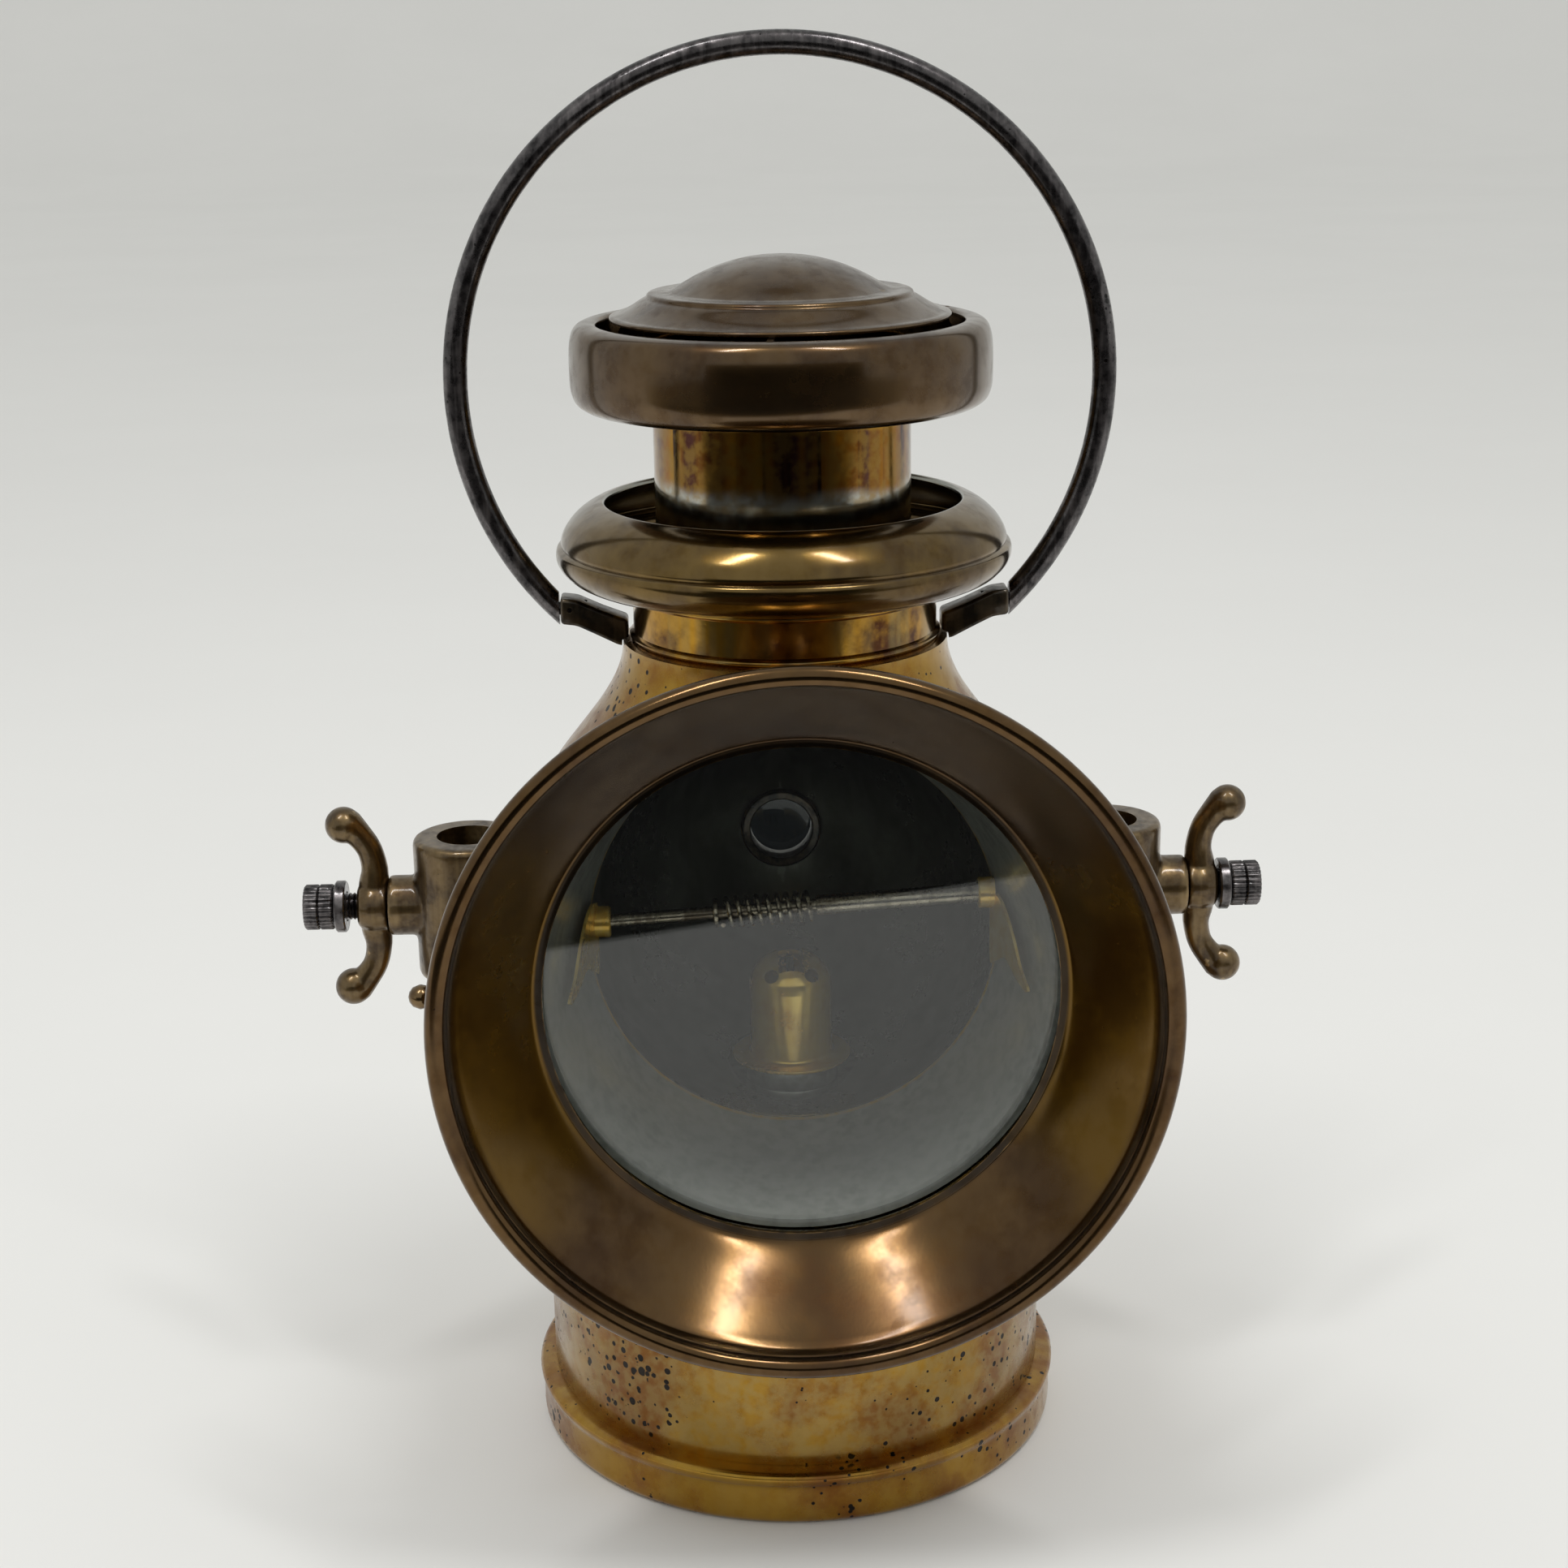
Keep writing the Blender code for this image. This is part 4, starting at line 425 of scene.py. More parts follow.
def chimney_zones(wiring, place, paint):
    """Heat tints in upright bands, and a painted reflection that makes the foot grey."""
    bands = wiring.add("ShaderNodeVectorMath", {0: place, 1: (1, 1, 0.004)}, operation="MULTIPLY")
    noise = wiring.add("ShaderNodeTexNoise", {"Vector": bands.outputs[0], "Scale": 70.0, "Detail": 3.0,
                                              "Roughness": 0.6})
    ramp = wiring.add("ShaderNodeValToRGB", {0: noise.outputs[0]})
    stops = ((0.30, colour(186, 140, 12)), (0.42, colour(150, 96, 8)), (0.50, colour(84, 44, 14)),
             (0.56, colour(70, 36, 44)), (0.62, colour(150, 98, 10)), (0.74, colour(196, 152, 30)))
    elements = ramp.color_ramp.elements
    elements[0].position, elements[0].color = stops[0]
    elements[1].position, elements[1].color = stops[-1]
    for position, tint in stops[1:-1]:
        elements.new(position).color = tint
    height = axes(wiring, place)["Z"]
    wave = wiring.math("MULTIPLY", wiring.math("SUBTRACT", noise.outputs[0], 0.5), 0.006)
    level = wiring.math("ADD", height, wave)
    foot = wiring.range(level, 0.1985, 0.2015, 1.0, 0.0)
    rim = wiring.range(level, 0.2115, 0.2130)
    tinted = wiring.mix(rim, ramp.outputs[0], colour(190, 146, 44))
    line = wiring.add("ShaderNodeTexNoise", {"Vector": bands.outputs[0], "Scale": 420.0, "Detail": 1.0})
    tinted = wiring.mix(wiring.range(line.outputs[0], 0.60, 0.70), tinted, colour(44, 22, 8))
    # painted reflection: the foot, below about 200 mm, is made pale grey
    return wiring.mix(foot, tinted, colour(186, 186, 176))


def cowl_painted_light(wiring, place, paint):
    """Painted light: the cowl's inner side near the top is a dull grey, lighter than the brass."""
    facing = wiring.add("ShaderNodeNewGeometry").outputs["Normal"]
    flat = wiring.add("ShaderNodeVectorMath", {0: place, 1: (1, 1, 0)}, operation="MULTIPLY")
    outward = wiring.add("ShaderNodeVectorMath", {0: flat.outputs[0], 1: facing}, operation="DOT_PRODUCT")
    inner = wiring.range(outward.outputs["Value"], -0.004, 0.0, 1.0, 0.0)
    height = wiring.range(axes(wiring, place)["Z"], 0.1885, 0.1900)
    # painted light: the inner side of the upper flank is made a dull grey
    return wiring.mix(wiring.math("MULTIPLY", inner, height), paint, colour(150, 150, 142))


def bezel_painted_reflection(wiring, place, paint):
    """Painted reflection on the flare's inside: golden low at the left and right, brown above and along the
    bottom; the inner edge by the glass is dark.
    """
    parts = axes(wiring, place)
    sideways = wiring.math("ABSOLUTE", parts["X"])
    drop = wiring.math("SUBTRACT", LENS_HEIGHT * MM, parts["Z"])
    lean = wiring.math("SUBTRACT", sideways, wiring.math("MULTIPLY", wiring.math("ABSOLUTE", drop), 1.1))
    noise = wiring.add("ShaderNodeTexNoise", {"Vector": place, "Scale": 26.0, "Detail": 5.0})
    wander = wiring.math("MULTIPLY", wiring.math("SUBTRACT", noise.outputs[0], 0.5), 0.06)
    lean = wiring.math("ADD", lean, wander)
    golden = wiring.range(lean, -0.004, 0.030)
    distance = wiring.add("ShaderNodeVectorMath", {0: place, 1: (0, 0, LENS_HEIGHT * MM)},
                          operation="SUBTRACT")
    flat = wiring.add("ShaderNodeVectorMath", {0: distance.outputs[0], 1: (1, 0, 1)},
                      operation="MULTIPLY")
    radius = wiring.add("ShaderNodeVectorMath", {0: flat.outputs[0]}, operation="LENGTH").outputs["Value"]
    inside = wiring.range(radius, 0.0615, 0.0635, 1.0, 0.0)
    # painted reflection: golden on the inside of the flare, at the left and right
    paint = wiring.mix(wiring.math("MULTIPLY", golden, inside), paint, colour(104, 76, 22))
    return wiring.mix(wiring.range(radius, 0.0484, 0.0492, 1.0, 0.0), paint, colour(40, 30, 18))


def cone_zones(wiring, place, paint):
    """A yellow line of lacquer along the cone's narrow end."""
    narrow_end = wiring.range(axes(wiring, place)["Y"], -0.0262, -0.0256)
    return wiring.mix(narrow_end, paint, colour(222, 184, 74))


def bowl_painted_shade_and_soot(wiring, place, paint):
    """Soot and painted shade over the burner: the bowl is dark above about 115 to 135 mm."""
    parts = axes(wiring, place)
    noise = wiring.add("ShaderNodeTexNoise", {"Vector": place, "Scale": 30.0, "Detail": 5.0})
    level = wiring.math("ADD", parts["Z"], wiring.math("MULTIPLY",
                        wiring.math("SUBTRACT", noise.outputs[0], 0.5), 0.004))
    # soot and painted shade: dark from about 115 to 135 mm upward
    soot_and_painted_shade = wiring.range(level, 0.1150, 0.1350)
    return wiring.mix(soot_and_painted_shade, paint, colour(46, 46, 40))


brown_brass = metal("brown_brass", colour(96, 74, 46), colour(64, 44, 26), colour(138, 112, 72),
                    colour(28, 18, 10), rough=(0.22, 0.38), blotch_scale=38, pits=0.06, streak=0.12)
bezel_brass = metal("bezel_brass", colour(94, 70, 40), colour(70, 48, 26), colour(130, 102, 62),
                    colour(26, 17, 8), rough=(0.17, 0.29), blotch_scale=30, pits=0.10, pit_scale=420,
                    streak=0.1, zones=bezel_painted_reflection, coat=0.35)
cowl_brass = metal("cowl_brass", colour(112, 88, 40), colour(76, 56, 26), colour(150, 124, 70),
                   colour(34, 22, 10), rough=(0.16, 0.28), blotch_scale=44, pits=0.03, streak=0.15,
                   zones=cowl_painted_light)
golden_brass = metal("golden_brass", colour(170, 130, 38), colour(132, 84, 26), colour(160, 138, 84),
                     colour(28, 18, 6), rough=(0.20, 0.38), blotch_scale=42, pits=0.62, pit_scale=560,
                     edge=0.5, streak=0.15, coat=0.5)
neck_brass = metal("neck_brass", colour(182, 134, 30), colour(78, 42, 14), colour(140, 126, 84),
                   colour(36, 20, 10), rough=(0.14, 0.26), blotch_scale=70, pits=0.05, streak=0.5, coat=0.4)
chimney_brass = metal("chimney_brass", colour(160, 118, 36), colour(120, 78, 26), colour(150, 118, 50),
                      colour(34, 20, 10), rough=(0.12, 0.22), pits=0.02, streak=0.12, zones=chimney_zones,
                      coat=0.3)
cast_brass = metal("cast_brass", colour(106, 86, 56), colour(70, 54, 36), colour(160, 136, 96),
                   colour(24, 16, 10), rough=(0.30, 0.50), blotch_scale=130, pits=0.25, edge=0.9, bump=0.10)
bright_brass = metal("bright_brass", colour(238, 200, 84), colour(216, 166, 50), colour(248, 224, 140),
                     colour(110, 76, 30), rough=(0.18, 0.30), blotch_scale=120, pits=0.02, bump=0.01,
                     metallic=0.55)
worn_steel = metal("worn_steel", colour(60, 57, 58), colour(22, 19, 20), colour(134, 128, 128),
                   colour(16, 12, 11), rough=(0.24, 0.52), blotch_scale=240, pits=0.45, pit_scale=700,
                   edge=0.6, streak=0.3)
ear_metal = metal("ear_metal", colour(42, 38, 32), colour(24, 20, 16), colour(100, 86, 66),
                  colour(14, 10, 8), rough=(0.34, 0.55), blotch_scale=160, pits=0.35, edge=0.5, bump=0.08)
tinned = metal("tinned", colour(150, 153, 146), colour(118, 120, 112), colour(168, 170, 164),
               colour(70, 66, 56), rough=(0.30, 0.46), blotch_scale=44, pits=0.03, streak=0.4, metallic=0.6)
# painted light: a lighter copy of the tin for the cone
cone_tin_painted_light = metal("cone_tin_painted_light", colour(176, 179, 172), colour(156, 159, 152), colour(190, 192, 186),
                 colour(70, 66, 56), rough=(0.30, 0.46), blotch_scale=44, pits=0.03, streak=0.4, metallic=0.4,
                 zones=cone_zones)
# soot and painted shade: a darker copy of the tin for the bowl
tin_with_soot_and_painted_shade = metal("tin_with_soot_and_painted_shade", colour(112, 114, 106), colour(92, 94, 86), colour(132, 134, 126),
                  colour(40, 38, 34), rough=(0.26, 0.42), blotch_scale=40, pits=0.03, streak=0.2,
                  metallic=0.7, zones=bowl_painted_shade_and_soot)
spring_wire = metal("spring_wire", colour(128, 120, 104), colour(84, 72, 56), colour(176, 168, 150),
                    colour(40, 34, 26), rough=(0.22, 0.38), blotch_scale=200, pits=0.05)


def make_glass(name, tint, smeared, haze):
    material, wiring, place, shader = begin(name)
    smear = wiring.group(blotches, {"Place": place, "Scale": 30.0, "Low": 0.35, "High": 0.8})
    dust = wiring.group(specks, {"Place": place, "Scale": 900.0, "Amount": 0.04})
    wiring.tree.links.new(wiring.mix(smear, tint, smeared), shader.inputs["Base Color"])
    gloss = wiring.math("ADD", wiring.math("MULTIPLY", smear, haze), wiring.math("MULTIPLY", dust, 0.1))
    wiring.tree.links.new(gloss, shader.inputs["Roughness"])
    ripple = wiring.add("ShaderNodeTexNoise", {"Vector": place, "Scale": 45.0})
    relief = wiring.add("ShaderNodeBump", {"Height": ripple.outputs[0], "Strength": 1.0,
                                           "Distance": 0.004 * MM})
    wiring.tree.links.new(relief.outputs[0], shader.inputs["Normal"])
    shader.inputs["Transmission Weight"].default_value = 1.0
    shader.inputs["IOR"].default_value = 1.5
    return material


def make_cotton():
    material, wiring, place, shader = begin("cotton_wick")
    char = wiring.range(axes(wiring, place)["Z"], 0.0950, 0.0975)
    weave = wiring.add("ShaderNodeTexWave", {"Vector": place, "Scale": 1400.0, "Distortion": 1.0})
    cloth = wiring.mix(weave.outputs[1], colour(196, 186, 160), colour(160, 148, 120))
    wiring.tree.links.new(wiring.mix(char, cloth, colour(30, 26, 22)), shader.inputs["Base Color"])
    fuzz = wiring.range(weave.outputs[1], 0.0, 1.0, 0.8, 0.95)
    wiring.tree.links.new(fuzz, shader.inputs["Roughness"])
    relief = wiring.add("ShaderNodeBump", {"Height": weave.outputs[1], "Strength": 1.0,
                                           "Distance": 0.1 * MM})
    wiring.tree.links.new(relief.outputs[0], shader.inputs["Normal"])
    return material


clear_glass = make_glass("clear_glass", colour(248, 250, 248), colour(238, 242, 238), 0.004)
dark_glass = make_glass("dark_glass", colour(12, 15, 18), colour(20, 23, 25), 0.08)
cotton = make_cotton()


# Pieces of the body

def make_body():
    top_radius, top, bottom_radius, bottom = SHOULDER
    swell = []
    for step in range(25):
        share = step / 24
        radius = top_radius + (bottom_radius - top_radius) * (0.5 - 0.5 * math.cos(math.pi * share))
        swell.append((radius, top + (bottom - top) * share))
    outline = walled(list(BODY_COLLAR) + swell + list(BODY_FOOT), 0.8)
    body = turned("body", outline)
    merge(body, drill("mouth", 49.9, 0, 60, FORWARD, ROUND_STEPS), "DIFFERENCE")
    merge(body, drill("port_hole", 8.9, 0, 60, across("+Y", 0, 0, PORT_HEIGHT)), "DIFFERENCE")
    finish_piece("body_turned", body, golden_brass, "lamp_body", ("body_shell",))
    neck = turned("neck", walled(spline(NECK_BAND[:4], 3)[:-1] + list(NECK_BAND[4:6])
                                 + spline(NECK_BAND[6:], 3), 0.8))
    finish_piece("neck_turned", neck, neck_brass, "lamp_body", ("neck_band",))
    cowl = turned("cowl", walled(spline(COWL_FLANK) + spline(COWL_BELLY), 0.8))
    finish_piece("cowl_turned", cowl, cowl_brass, "lamp_body", ("cowl_ring",))
    chimney = turned("chimney", walled(list(CHIMNEY), 0.6))
    finish_piece("chimney_turned", chimney, chimney_brass, "lamp_body", ("chimney_tube",))
    band = turned("cap_side", walled(spline(CAP_BAND), 0.8))
    finish_piece("cap_band_turned", band, brown_brass, "lamp_body", ("cap_band",))
    top = turned("cap_cover", walled(spline(CAP_DOME) + spline(CAP_STEP), 0.8))
    finish_piece("cap_top_turned", top, brown_brass, "lamp_body", ("cap_top",))
    drum = turned("drum", walled(list(DRUM), 0.8), FORWARD)
    merge(drum, drill("drum_room", 52.0, 0, 140, UPRIGHT, ROUND_STEPS), "DIFFERENCE")
    finish_piece("drum_turned", drum, golden_brass, "lamp_body", ("front_drum",))


def make_inside():
    cone = turned("cone", CONE, FORWARD)
    finish_piece("cone_turned", cone, cone_tin_painted_light, "lamp_body", ("inner_cone",))
    radius, depth, front = BOWL_AXES
    outline = [(39.8, front)]
    for step in range(33):
        angle = math.radians(90 * step / 32)
        outline.append((radius * math.cos(angle), front - depth * math.sin(angle)))
    outline[-1] = (0, outline[-1][1])
    bowl = turned("bowl", walled(outline, 0.6), FORWARD)
    merge(bowl, drill("bowl_port", 8.9, 0, 60, across("+Y", 0, 0, PORT_HEIGHT)), "DIFFERENCE")
    merge(bowl, drill("bowl_burner", 13.1, 0, LENS_HEIGHT, UPRIGHT), "DIFFERENCE")
    merge(bowl, drill("bowl_flue", 19.0, LENS_HEIGHT, 166, UPRIGHT), "DIFFERENCE")
    finish_piece("bowl_spun", bowl, tin_with_soot_and_painted_shade, "lamp_body", ("reflector_bowl",))
    back = across("+Y", 0, 0, PORT_HEIGHT)
    ring = turned("port", PORT_RING, back, SMALL_STEPS)
    finish_piece("port_ring_turned", ring, ear_metal, "lamp_body", ("rear_port_ring",))
    jewel = turned("jewel", JEWEL, back, SMALL_STEPS)
    jewel.visible_shadow = False
    finish_piece("jewel_polished", jewel, dark_glass, "lamp_body", ("rear_jewel",))


# Cross rod: a pin that slides in a tube against a coil spring, tilted a little
ROD_HALF, ROD_Y, ROD_Z, ROD_TILT = 37.4, -27.5, 120.5, 3
ROD_PLACE = (Matrix.Translation(Vector((0, ROD_Y, ROD_Z)) * MM)
             @ Matrix.Rotation(math.radians(90 - ROD_TILT), 4, "Y"))
ROD_PIN = ((0, 10.2), (1.3, 10.2), (1.3, -14.78), (2.6, -14.78), (2.8, -15.0), (2.8, -15.6), (2.6, -15.78),
           (1.3, -15.78), (1.3, -ROD_HALF), (0, -ROD_HALF))
SPRING_TURNS, SPRING_STEPS, SPRING_RADIUS, SPRING_WIRE = 9, 24, 2.7, 0.48
SPRING_START, SPRING_LENGTH = -14.0, 17.42
ROD_TUBE = ((0, ROD_HALF), (1.95, ROD_HALF), (1.95, 4.6), (1.75, 4.2), (1.6, 4.2), (1.6, 10.5), (0, 10.5))


def make_rod():
    pin = turned("pin", ROD_PIN, ROD_PLACE, 32)
    finish_piece("rod_pin_turned", pin, spring_wire, "lamp_body", ("rod_pin",))
    tube = turned("sleeve", ROD_TUBE, ROD_PLACE, 32)
    finish_piece("rod_tube_turned", tube, spring_wire, "lamp_body", ("rod_tube",))
    points = []
    for step in range(SPRING_TURNS * SPRING_STEPS + 1):
        angle = 2 * math.pi * step / SPRING_STEPS
        points.append((SPRING_RADIUS * math.cos(angle), SPRING_RADIUS * math.sin(angle),
                       SPRING_START + SPRING_LENGTH * step / (SPRING_TURNS * SPRING_STEPS)))
    coil = swept("coil", points, [SPRING_WIRE] * len(points), 12, ROD_PLACE)
    finish_piece("rod_spring_wound", coil, spring_wire, "lamp_body", ("rod_spring",))


# Clips of the cross rod: a folded tab on the cone's side, its front edge cut to a point
CLIP_OUTLINE = ((0.0, 6.6), (3.1, 7.2), (7.0, 5.6), (11.5, 1.6), (15.5, -3.4), (19.6, -6.4), (18.0, -7.2),
                (13.0, -6.0), (8.0, -4.2), (2.0, -7.0), (0.0, -6.6))
CLIP_SHEET, CLIP_X, CLIP_Y, CLIP_Z = 0.6, 38.6, -27.9, 116.0
CLIP_TAPER = math.atan2(7.8, 30.2)
CUP_X = 35.6
CUP = ((0, 3.2), (3.1, 3.2), (3.1, 0.3), (2.8, 0), (0, 0))
TUBE_HOLE, PIN_HOLE = 2.2, 1.6


def make_clips():
    for word, side in (("left", -1), ("right", 1)):
        rise = side * ROD_HALF * math.tan(math.radians(ROD_TILT))
        mesh = bmesh.new()
        edge = spline(CLIP_OUTLINE + CLIP_OUTLINE[:1], 4)[:-1]
        rows = []
        for layer in (0.0, -CLIP_SHEET):
            rows.append([mesh.verts.new((layer, -along, up)) for along, up in edge])
        mesh.faces.new(rows[0])
        mesh.faces.new(rows[1][::-1])
        for k in range(len(edge)):
            n = (k + 1) % len(edge)
            mesh.faces.new((rows[0][k], rows[0][n], rows[1][n], rows[1][k]))
        bmesh.ops.scale(mesh, vec=(MM, MM, MM), verts=mesh.verts)
        if side < 0:
            mesh.transform(Matrix.Diagonal((-1, 1, 1, 1)))
            bmesh.ops.reverse_faces(mesh, faces=mesh.faces)
        mesh.transform(Matrix.Rotation(side * CLIP_TAPER, 4, "Z"))
        mesh.transform(Matrix.Translation(Vector((side * CLIP_X, CLIP_Y, CLIP_Z)) * MM))
        tab = mesh_item("tab", mesh)
        cup_place = across("+X" if side > 0 else "-X", side * CUP_X, ROD_Y, ROD_Z + rise)
        merge(tab, turned("cup", CUP, cup_place, 32), "UNION")
        hole_radius = TUBE_HOLE if side > 0 else PIN_HOLE
        hole_place = ROD_PLACE if side > 0 else ROD_PLACE @ Matrix.Rotation(math.pi, 4, "X")
        merge(tab, drill("cup_hole", hole_radius, -40, 37.6, hole_place, 32), "DIFFERENCE")
        finish_piece(f"{word}_clip_folded", tab, bright_brass, "lamp_body", (f"{word}_rod_clip",))


# Door
KEEPER_RADIUS, KEEPER_Y, KEEPER_WIRE = 50.0, 56.3, 0.8
TONGUE_LOW = (-53.4, -61.0, LENS_HEIGHT - 4.5)
TONGUE_HIGH = (-51.2, -43.4, LENS_HEIGHT + 4.5)
PULL = ((0, 18.8), (1.0, 18.55), (1.8, 17.9), (2.3, 16.6), (2.1, 15.6), (1.5, 14.7), (1.2, 14.3),
        (1.2, 0), (0, 0))
PULL_X, PULL_Y = -53.3, -56.75


def make_door():
    roll = []
    for step in range(25):
        angle = math.radians(215 - 335 * step / 24)
        roll.append((BEZEL_ROLL_CENTRE[0] + BEZEL_ROLL * math.cos(angle),
                     BEZEL_ROLL_CENTRE[1] + BEZEL_ROLL * math.sin(angle)))
    outline = roll + spline(BEZEL_FLARE, 6)
    bezel = turned("flare", walled(outline, BEZEL_WALL), FORWARD, 192)
    finish_piece("bezel_spun", bezel, bezel_brass, "door", ("door_bezel",))
    ring = turned("frame", FRAME, FORWARD)
    finish_piece("door_frame_turned", ring, brown_brass, "door", ("door_frame",))
    pane = turned("pane", GLASS, FORWARD)
    pane.visible_shadow = False
    finish_piece("glass_pane", pane, clear_glass, "door", ("door_glass",))
    wire = [(KEEPER_RADIUS + KEEPER_WIRE * math.cos(math.radians(angle)),
             KEEPER_Y + KEEPER_WIRE * math.sin(math.radians(angle))) for angle in range(0, 360, 30)]
    keeper = turned("keeper", wire, FORWARD)
    finish_piece("glass_ring_wire", keeper, spring_wire, "door", ("glass_ring",))
    tongue = block("tongue", TONGUE_LOW, TONGUE_HIGH)
    merge(tongue, drill("tongue_frame", 52.6, 52.2, 70, FORWARD, ROUND_STEPS), "DIFFERENCE")
    merge(tongue, drill("tongue_drum", 51.0, 0, 55.5, FORWARD, ROUND_STEPS), "DIFFERENCE")
    merge(tongue, turned("pull", PULL, across("-X", PULL_X, PULL_Y, LENS_HEIGHT), 32), "UNION")
    finish_piece("catch_forged", tongue, brown_brass, "door", ("door_catch",))


# Sockets and clamps
SOCKET_X, SOCKET_Z = 64.9, 113.2
BORE_RADIUS, STUD_WAY = 6.45, 3.1
BARREL = ((0, 14.6), (10.2, 14.6), (11.0, 14.3), (11.35, 13.4), (11.35, -13.4), (11.0, -14.3),
          (10.2, -14.6), (0, -14.6))
BOSS = ((0, 28.6), (5.8, 28.6), (6.15, 28.2), (6.15, 11.0), (7.2, 0), (0, 0))
BOSS_X = 53.0
SADDLE_X, SADDLE_WIDTH, SADDLE_HEIGHT = 48.7, 10.2, 11.8
EYE_ROOM_X, EYE_ROOM, SLOT_WIDTH, SLOT_HEIGHT = 66.1, 9.3, 9.0, 3.3
EYE_X, EYE_REACH = 64.1, 8.05
EYE = ((8.5, 3.0), (8.7, 2.8), (8.7, -2.8), (8.5, -3.0), (7.6, -3.0), (7.4, -2.8), (7.4, 2.8), (7.6, 3.0))
STUD_END, THREAD_START, THREAD_PITCH, THREAD_TURNS = 96.8, 13.0, 0.8, 24
WASHER_X, END_NUT_X, WING_X = 88.3, 90.8, 81.9
WASHER = ((5.0, 2.2), (5.3, 1.9), (5.3, 0.3), (5.0, 0), (3.1, 0), (3.1, 2.2))
STUD_OUT = {"left": 2.0, "right": 0.0}
WING_PATH = ((0.9, 0.0), (2.9, 3.83), (2.59, 8.0), (3.56, 12.18), (5.83, 15.31), (8.1, 17.4))
WING_RADII = (3.6, 3.3, 2.75, 2.6, 2.8, 3.4)


def make_sockets():
    for word, side in (("left", -1), ("right", 1)):
        outward = "+X" if side > 0 else "-X"
        upright = across("+Z", side * SOCKET_X, 0, SOCKET_Z)
        barrel = turned("barrel", BARREL, upright)
        boss = turned("boss", BOSS, across(outward, side * BOSS_X, 0, SOCKET_Z))
        near, far = sorted((side * SADDLE_X, side * SOCKET_X))
        saddle = block("saddle", (near, -SADDLE_WIDTH, SOCKET_Z - SADDLE_HEIGHT),
                       (far, SADDLE_WIDTH, SOCKET_Z + SADDLE_HEIGHT))
        merge(barrel, boss, "UNION")
        merge(barrel, saddle, "UNION")
        cast(barrel, 0.45, 5)
        merge(barrel, drill("bore", BORE_RADIUS, -20, 20, upright), "DIFFERENCE")
        merge(barrel, drill("stud_way", STUD_WAY, 0, 40, across(outward, side * SOCKET_X, 0, SOCKET_Z), 32),
              "DIFFERENCE")
        eye_place = across("+Z", side * EYE_ROOM_X, 0, SOCKET_Z)
        merge(barrel, drill("eye_way", EYE_ROOM, -3.6, 3.6, eye_place), "DIFFERENCE")
        near, far = sorted((side * SADDLE_X, side * EYE_ROOM_X))
        merge(barrel, block("slot", (near, -SLOT_WIDTH, SOCKET_Z - SLOT_HEIGHT),
                            (far, SLOT_WIDTH, SOCKET_Z + SLOT_HEIGHT)), "DIFFERENCE")
        merge(barrel, drill("wall_way", 52.0, 60, 160, UPRIGHT, ROUND_STEPS), "DIFFERENCE")
        finish_piece(f"{word}_socket_cast", barrel, cast_brass, "lamp_body", (f"{word}_fork_socket",))

        out = STUD_OUT[word]
        eye_x = side * (EYE_X + out)
        eye = turned("eye", EYE, across("+Z", eye_x, 0, SOCKET_Z))
        thread = [(0, 0), (2.5, 0)]
        for turn in range(THREAD_TURNS):
            crest = THREAD_START + turn * THREAD_PITCH
            thread += [(2.8, crest), (2.45, crest + THREAD_PITCH / 2)]
        length = STUD_END + out - abs(eye_x) - EYE_REACH
        thread = [point for point in thread if point[1] < length - 0.6]
        thread += [(2.5, length - 0.3), (2.1, length), (0, length)]
        shank = turned("shank", thread[::-1], across(outward, eye_x + side * EYE_REACH, 0, SOCKET_Z), 32)
        merge(eye, shank, "UNION")
        finish_piece(f"{word}_stud_threaded", eye, worn_steel, f"{word}_stud", (f"{word}_clamp_stud",))
        washer = turned("washer", WASHER, across(outward, side * (WASHER_X + out), 0, SOCKET_Z), SMALL_STEPS)
        finish_piece(f"{word}_washer_turned", washer, worn_steel, f"{word}_stud", (f"{word}_stop_washer",))
        make_end_nut(word, outward, side * (END_NUT_X + out))
        make_wing_nut(word, side, outward)


KNURL_STEPS, KNURL_RIDGES, KNURL_RADIUS, KNURL_DEPTH = 168, 28, 4.65, 0.22
KNURL_ROWS = ((0, 0.35), (0.4, 0), (2.7, 0), (3.0, 0.3), (3.3, 0), (5.6, 0), (6.0, 0.35))


def make_end_nut(word, outward, start):
    mesh = bmesh.new()
    rows = []
    for height, edge in KNURL_ROWS:
        row = []
        for step in range(KNURL_STEPS):
            angle = 2 * math.pi * step / KNURL_STEPS
            radius = KNURL_RADIUS - edge - KNURL_DEPTH * (0.5 - 0.5 * math.cos(KNURL_RIDGES * angle))
            row.append(mesh.verts.new((radius * MM * math.cos(angle), radius * MM * math.sin(angle),
                                       height * MM)))
        rows.append(row)
    for low, high in zip(rows, rows[1:]):
        for step in range(KNURL_STEPS):
            following = (step + 1) % KNURL_STEPS
            mesh.faces.new((low[step], low[following], high[following], high[step]))
    mesh.faces.new(rows[0][::-1])
    mesh.faces.new(rows[-1])
    mesh.transform(across(outward, start, 0, SOCKET_Z))
    nut = mesh_item("knurled", mesh)
    merge(nut, drill("nut_way", STUD_WAY, -5, 12, across(outward, start, 0, SOCKET_Z), 32), "DIFFERENCE")
    finish_piece(f"{word}_end_nut_knurled", nut, worn_steel, f"{word}_stud", (f"{word}_end_nut",))


WING_HUB = ((0, 6.1), (3.9, 6.1), (4.6, 5.5), (5.3, 3.6), (5.4, 2.4), (5.0, 0.3), (4.7, 0), (0, 0))
WING_LEAN_SHARE = 0.9
WING_TIP_RADIUS, WING_TIP_OUT, WING_TIP_UP = 3.75, 8.1, 17.4


